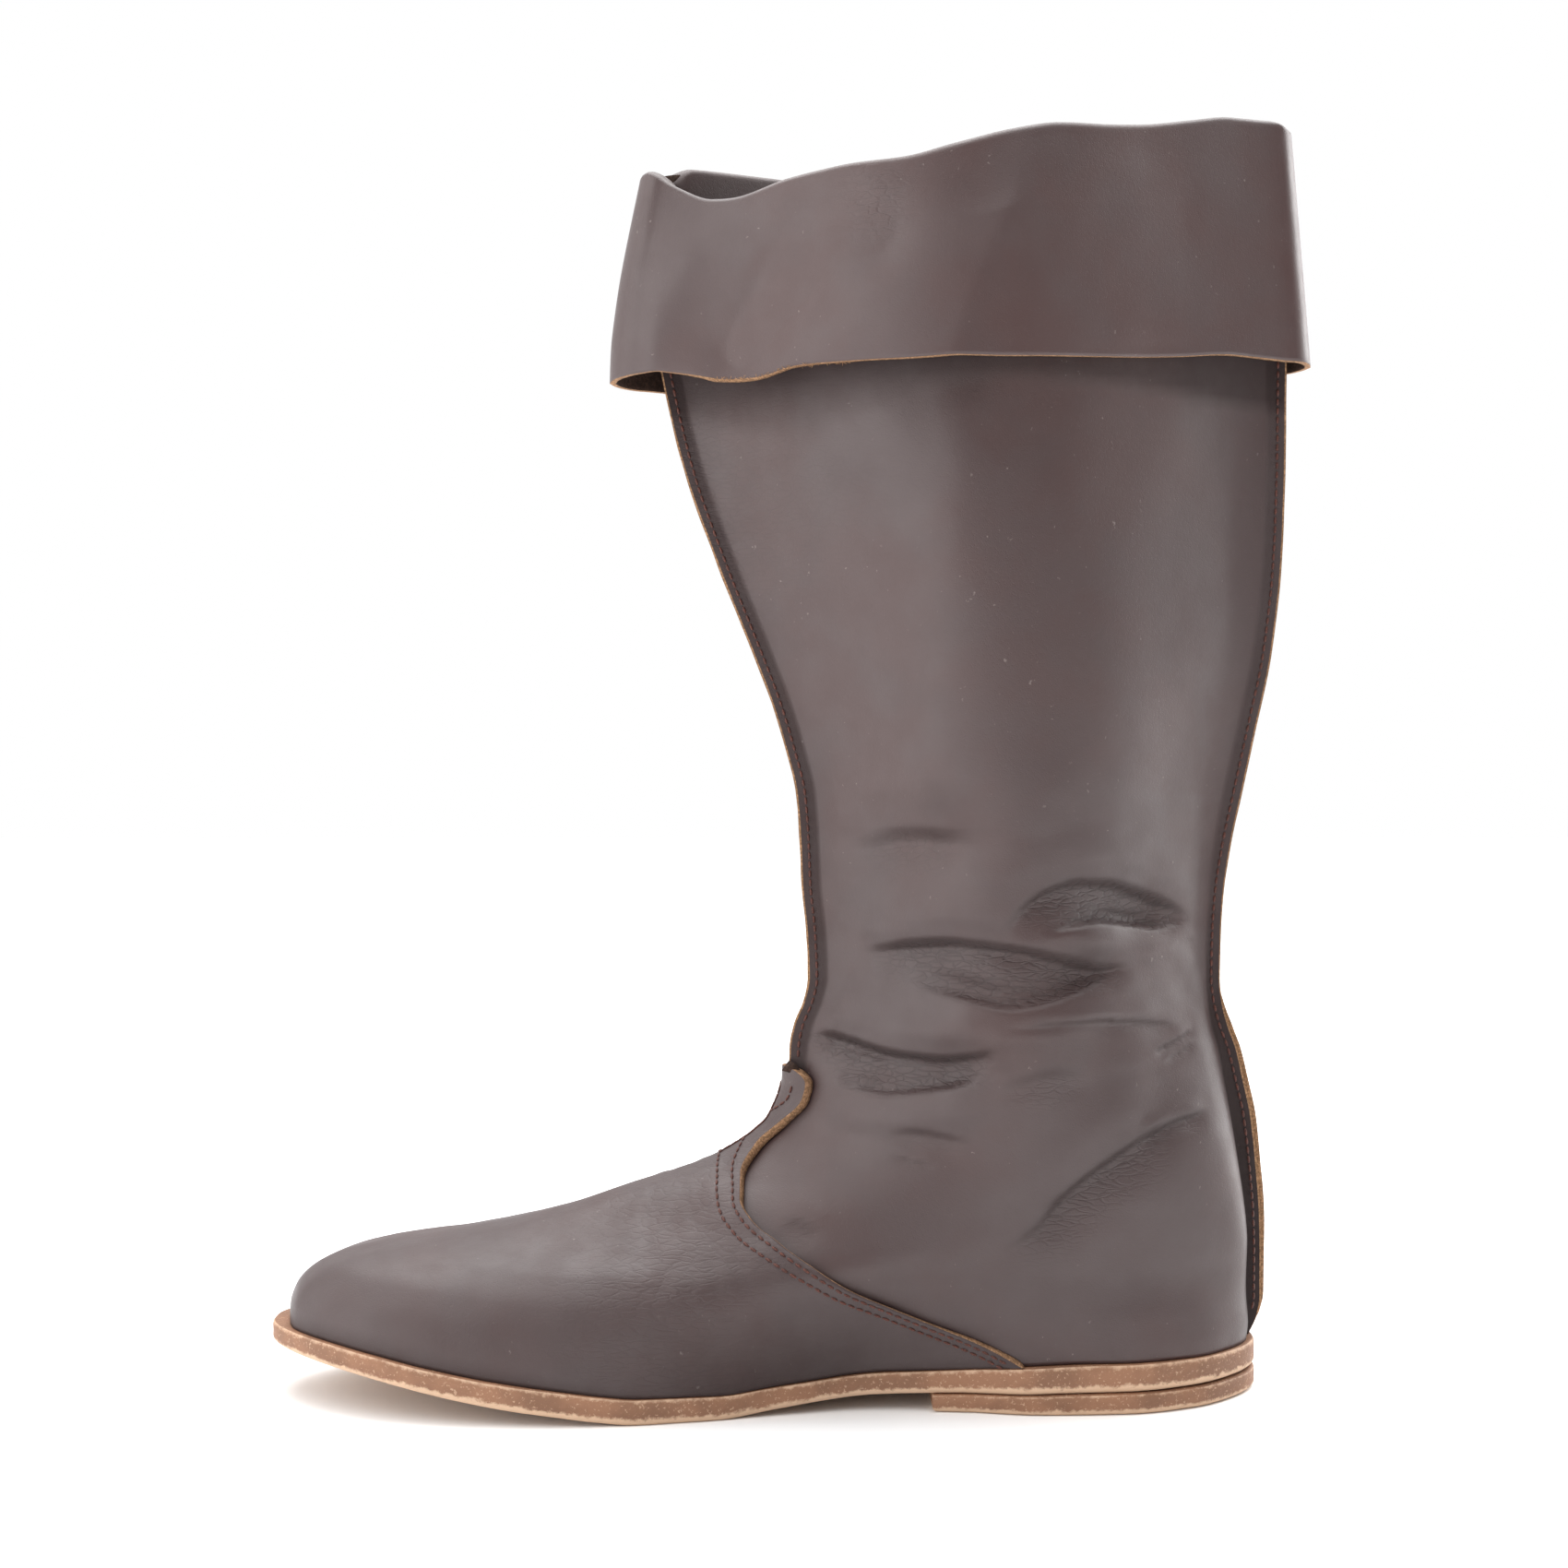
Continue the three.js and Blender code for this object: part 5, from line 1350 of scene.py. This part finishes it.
def stitch_line(bm, form, points, normals):
    """Stitches along a line of points in metres."""
    steps = np.concatenate([[0], np.cumsum(np.linalg.norm(np.diff(points, axis=0), axis=1))])
    count = int(steps[-1] / (form.stitch_pitch * MM))
    for i in range(count):
        middle = (i + 0.5) * form.stitch_pitch * MM
        ends = [np.array([np.interp(middle + off, steps, points[:, a]) for a in range(3)])
                for off in (-0.4 * form.stitch_length * MM, 0.4 * form.stitch_length * MM)]
        normal = np.array([np.interp(middle, steps, normals[:, a]) for a in range(3)])
        centre = Vector((ends[0] + ends[1]) / 2)
        lean = noise.noise(centre / (2 * MM)) * 0.12
        direction = Vector(ends[1] - ends[0]).normalized() + Vector((0, 0, lean))
        add_stitch(bm, centre + Vector(normal) * STITCH_RISE * MM, direction, Vector(normal),
                   form.stitch_length * MM, form.thread_width * 0.5 * MM)


def surface_line(form, along, up, side, growth):
    """Points and normals in metres on the grown surface, under spots of the side view."""
    level, place = form.level_at(along, up, side, growth)
    step_place, step_level = 0.004, 0.6
    here, fore, above = (boot_point(*form.surface(at_level, at_place, side, growth, tent=True))
                         for at_level, at_place in ((level, place), (level, place + step_place),
                                                    (level + step_level, place)))
    normal = np.cross(above - here, fore - here) * -side
    normal /= np.linalg.norm(normal, axis=1)[:, None]
    flip = np.sign(normal[:, 1] * side)
    return here, normal * np.where(flip == 0, 1, flip)[:, None]


# Rows of stitches behind the vamp's edge: at shares of the edge, sole to top, the distance in mm.
VAMP_STITCH_ROWS = [
    [(0.0, 1.4), (0.3, 1.6), (0.6, 1.9), (0.85, 1.9), (1.0, 2.0)],
    [(0.0, 3.2), (0.2, 3.6), (0.45, 5.2), (0.6, 6.6), (0.8, 5.8), (1.0, 4.6)],
]


SEAM_STITCH_INSET = 2.7     # mm from the cut edge of a raised seam


def vamp_edge_line(form, count=240):
    """The vamp's edge in the side view, from the sole up to its top point."""
    up = np.linspace(form.seat_top + 1.5, form.seat_top + form.instep_height * 0.965, count)
    along = form.vamp_edge.at("along", up)
    return along, up


HEM_FIBRES = 64
FIBRE_SPAN = (126.0, 166.0)     # mm along the boot where the hem frays


def hem_fibres(form):
    """Loose fibres that hang from the cut hem in front."""
    draw = np.random.default_rng(77)
    u = np.linspace(0, 0.25, 400)
    along, across, up = cuff_surface(form, u, np.zeros_like(u))[:3]
    order = np.argsort(along)
    bm = bmesh.new()
    for _ in range(HEM_FIBRES):
        at = draw.uniform(*FIBRE_SPAN)
        spot = [np.interp(at, along[order], values[order]) for values in (across, up)]
        centre = Vector(boot_point(at, spot[0] + draw.uniform(0.1, 1.4), spot[1] - draw.uniform(-0.1, 0.5)))
        direction = Vector((draw.normal(), 0.5 * draw.normal(), -0.35 + 0.5 * draw.normal()))
        add_stitch(bm, centre, direction, Vector((0, -1, 0)), draw.uniform(0.8, 2.4) * MM,
                   draw.uniform(0.06, 0.11) * MM)
    finish_piece("hem_fibres", bm, [FINISHES["raw"]])


class BOOT_OT_stitches(bpy.types.Operator):
    """Stitches: two rows beside the vamp's edge, one along each raised seam, and the hem's fibres"""
    bl_idname = "boot.stitches"
    bl_label = "Stitches"

    def execute(self, context):
        form = Form(context.scene.boot_sizes)
        bm = bmesh.new()
        along, up = vamp_edge_line(form)
        run = np.stack([np.gradient(along), np.gradient(up)], axis=-1)
        run /= np.linalg.norm(run, axis=1)[:, None]
        inwards = np.stack([run[:, 1], -run[:, 0]], axis=-1)
        share = np.linspace(0, 1, len(along))
        for row in VAMP_STITCH_ROWS:
            distance = np.interp(share, [r[0] for r in row], [r[1] for r in row])
            for side in (NEAR, FAR):
                fore, rise = along + inwards[:, 0] * distance, up + inwards[:, 1] * distance
                points, normals = surface_line(form, fore, rise, side, GAP + form.vamp_thickness)
                points -= normals * vamp_relief(points, fore, rise)[:, None] * MM
                stitch_line(bm, form, points, normals)
        finish_piece("vamp_stitches", bm, [FINISHES["thread"]])
        seams = bmesh.new()
        levels = {"front": np.linspace(form.instep_height * 1.04, form.hem_level + 12, 300),
                  "back": np.linspace(8, form.hem_level + 12, 400)}
        for end, level in levels.items():
            seam_along, seam_up = form.end_at(level, end)
            way = -1 if end == "front" else 1
            for side in (NEAR, FAR):
                across = np.full_like(level, side * form.upper_wall)
                points = boot_point(seam_along + way * SEAM_STITCH_INSET, across, seam_up)
                points[:, 1] += fin_wave(points, 0.5) * MM
                normals = np.tile([0.0, side, 0.0], (len(level), 1))
                stitch_line(seams, form, points, normals)
        finish_piece("seam_stitches", seams, [FINISHES["thread"]])
        hem_fibres(form)
        return {"FINISHED"}


# Camera and light, in metres
CAMERA_PLACE = (-0.1064, -0.6, 0.184)
CAMERA_LENS = 44.8
CAMERA_SENSOR = 36.0
DARK_SIDE = 0.2         # brightness of the studio behind the camera, against its white side
FLOOR_REACH = 6.0
# Soft lights: name, place, the spot they face, width and height, watts.
SOFT_LIGHTS = [
    ("left_window", (-1.7, -0.4, 0.75), (-0.06, 0, 0.2), (1.5, 1.9), 14),
    ("front_left_window", (-1.35, -1.15, 0.75), (-0.06, 0, 0.22), (1.3, 1.6), 11),
    ("right_window", (1.2, 0.75, 0.75), (-0.03, 0, 0.2), (0.8, 1.7), 22),
    ("top_panel", (-0.1, 0.6, 2.0), (-0.1, 0, 0), (2.4, 1.6), 45),
]
OVERHEAD_POWER, OVERHEAD_ANGLE, OVERHEAD_TILT = 1.6, 60, 14     # degrees


def soft_light(name, place, aim, size, power):
    data = bpy.data.lights.new(name, "AREA")
    data.shape = "RECTANGLE"
    data.size, data.size_y = size
    data.energy = power
    lamp = bpy.data.objects.new(name, data)
    lamp.location = place
    lamp.rotation_euler = (Vector(aim) - Vector(place)).to_track_quat("-Z", "Y").to_euler()
    bpy.context.scene.collection.objects.link(lamp)


class BOOT_OT_stage(bpy.types.Operator):
    """Camera at the eye level of the leg, soft light and a plain pale floor"""
    bl_idname = "boot.stage"
    bl_label = "Stage"

    def execute(self, context):
        scene = context.scene
        data = bpy.data.cameras.new("camera")
        data.sensor_width = CAMERA_SENSOR
        data.lens = CAMERA_LENS
        camera = bpy.data.objects.new("camera", data)
        camera.location = CAMERA_PLACE
        camera.rotation_euler = Euler((math.pi / 2, 0, 0))
        scene.collection.objects.link(camera)
        scene.camera = camera
        bm = bmesh.new()
        bmesh.ops.create_grid(bm, x_segments=1, y_segments=1, size=FLOOR_REACH)
        mesh = bpy.data.meshes.new("floor")
        bm.to_mesh(mesh)
        bm.free()
        floor = bpy.data.objects.new("floor", mesh)
        scene.collection.objects.link(floor)
        material, _, shader, _ = new_material("pale_floor")
        shader.inputs["Base Color"].default_value = (*scene.boot_colours.floor, 1)
        shader.inputs["Roughness"].default_value = 0.9
        shader.inputs["Specular IOR Level"].default_value = 0.1
        mesh.materials.append(material)
        scene.world = studio_world()
        scene.view_settings.view_transform = "Standard"
        for light in SOFT_LIGHTS:
            soft_light(*light)
        overhead = bpy.data.lights.new("overhead", "SUN")
        overhead.energy = OVERHEAD_POWER
        overhead.angle = math.radians(OVERHEAD_ANGLE)
        lamp = bpy.data.objects.new("overhead", overhead)
        lamp.rotation_euler = (math.radians(OVERHEAD_TILT), 0, 0)
        scene.collection.objects.link(lamp)
        return {"FINISHED"}


def studio_world():
    """White behind and beside the boot, darker on the side of the camera."""
    world = bpy.data.worlds.new("studio")
    world.use_nodes = True
    tree = world.node_tree
    background = tree.nodes["Background"]
    way = add(tree, "ShaderNodeSeparateXYZ")
    tree.links.new(add(tree, "ShaderNodeTexCoord").outputs["Generated"], way.inputs[0])
    height = maths(tree, "MULTIPLY", way.outputs["Z"], 0.3)
    tone = ranged(tree, maths(tree, "ADD", way.outputs["Y"], height), -0.55, 0.45, DARK_SIDE, 1.0)
    tree.links.new(tone, background.inputs["Color"])
    background.inputs["Strength"].default_value = 1.0
    return world


class BOOT_PT_panel(bpy.types.Panel):
    """Lists the boot's pieces in the sidebar"""
    bl_label = "Boot"
    bl_idname = "BOOT_PT_panel"
    bl_space_type = "VIEW_3D"
    bl_region_type = "UI"
    bl_category = "Boot"

    def draw(self, context):
        for operator in OPERATORS:
            self.layout.operator(operator.bl_idname)
        for group in (context.scene.boot_sizes, context.scene.boot_colours):
            for name in group.bl_rna.properties.keys():
                if name not in ("rna_type", "name"):
                    self.layout.prop(group, name)


OPERATORS = [BOOT_OT_stage, BOOT_OT_leg, BOOT_OT_vamp, BOOT_OT_cuff, BOOT_OT_sole, BOOT_OT_stitches]
CLASSES = [BootSizes, BootColours, *OPERATORS, BOOT_PT_panel]


def register():
    for item in CLASSES:
        bpy.utils.register_class(item)
    bpy.types.Scene.boot_sizes = PointerProperty(type=BootSizes)
    bpy.types.Scene.boot_colours = PointerProperty(type=BootColours)


def unregister():
    del bpy.types.Scene.boot_colours
    del bpy.types.Scene.boot_sizes
    for item in reversed(CLASSES):
        bpy.utils.unregister_class(item)


def main():
    register()
    make_finishes(bpy.context.scene.boot_colours)
    bpy.ops.boot.stage()
    bpy.ops.boot.leg()
    bpy.ops.boot.vamp()
    bpy.ops.boot.cuff()
    bpy.ops.boot.sole()
    bpy.ops.boot.stitches()


if __name__ == "__main__":
    main()
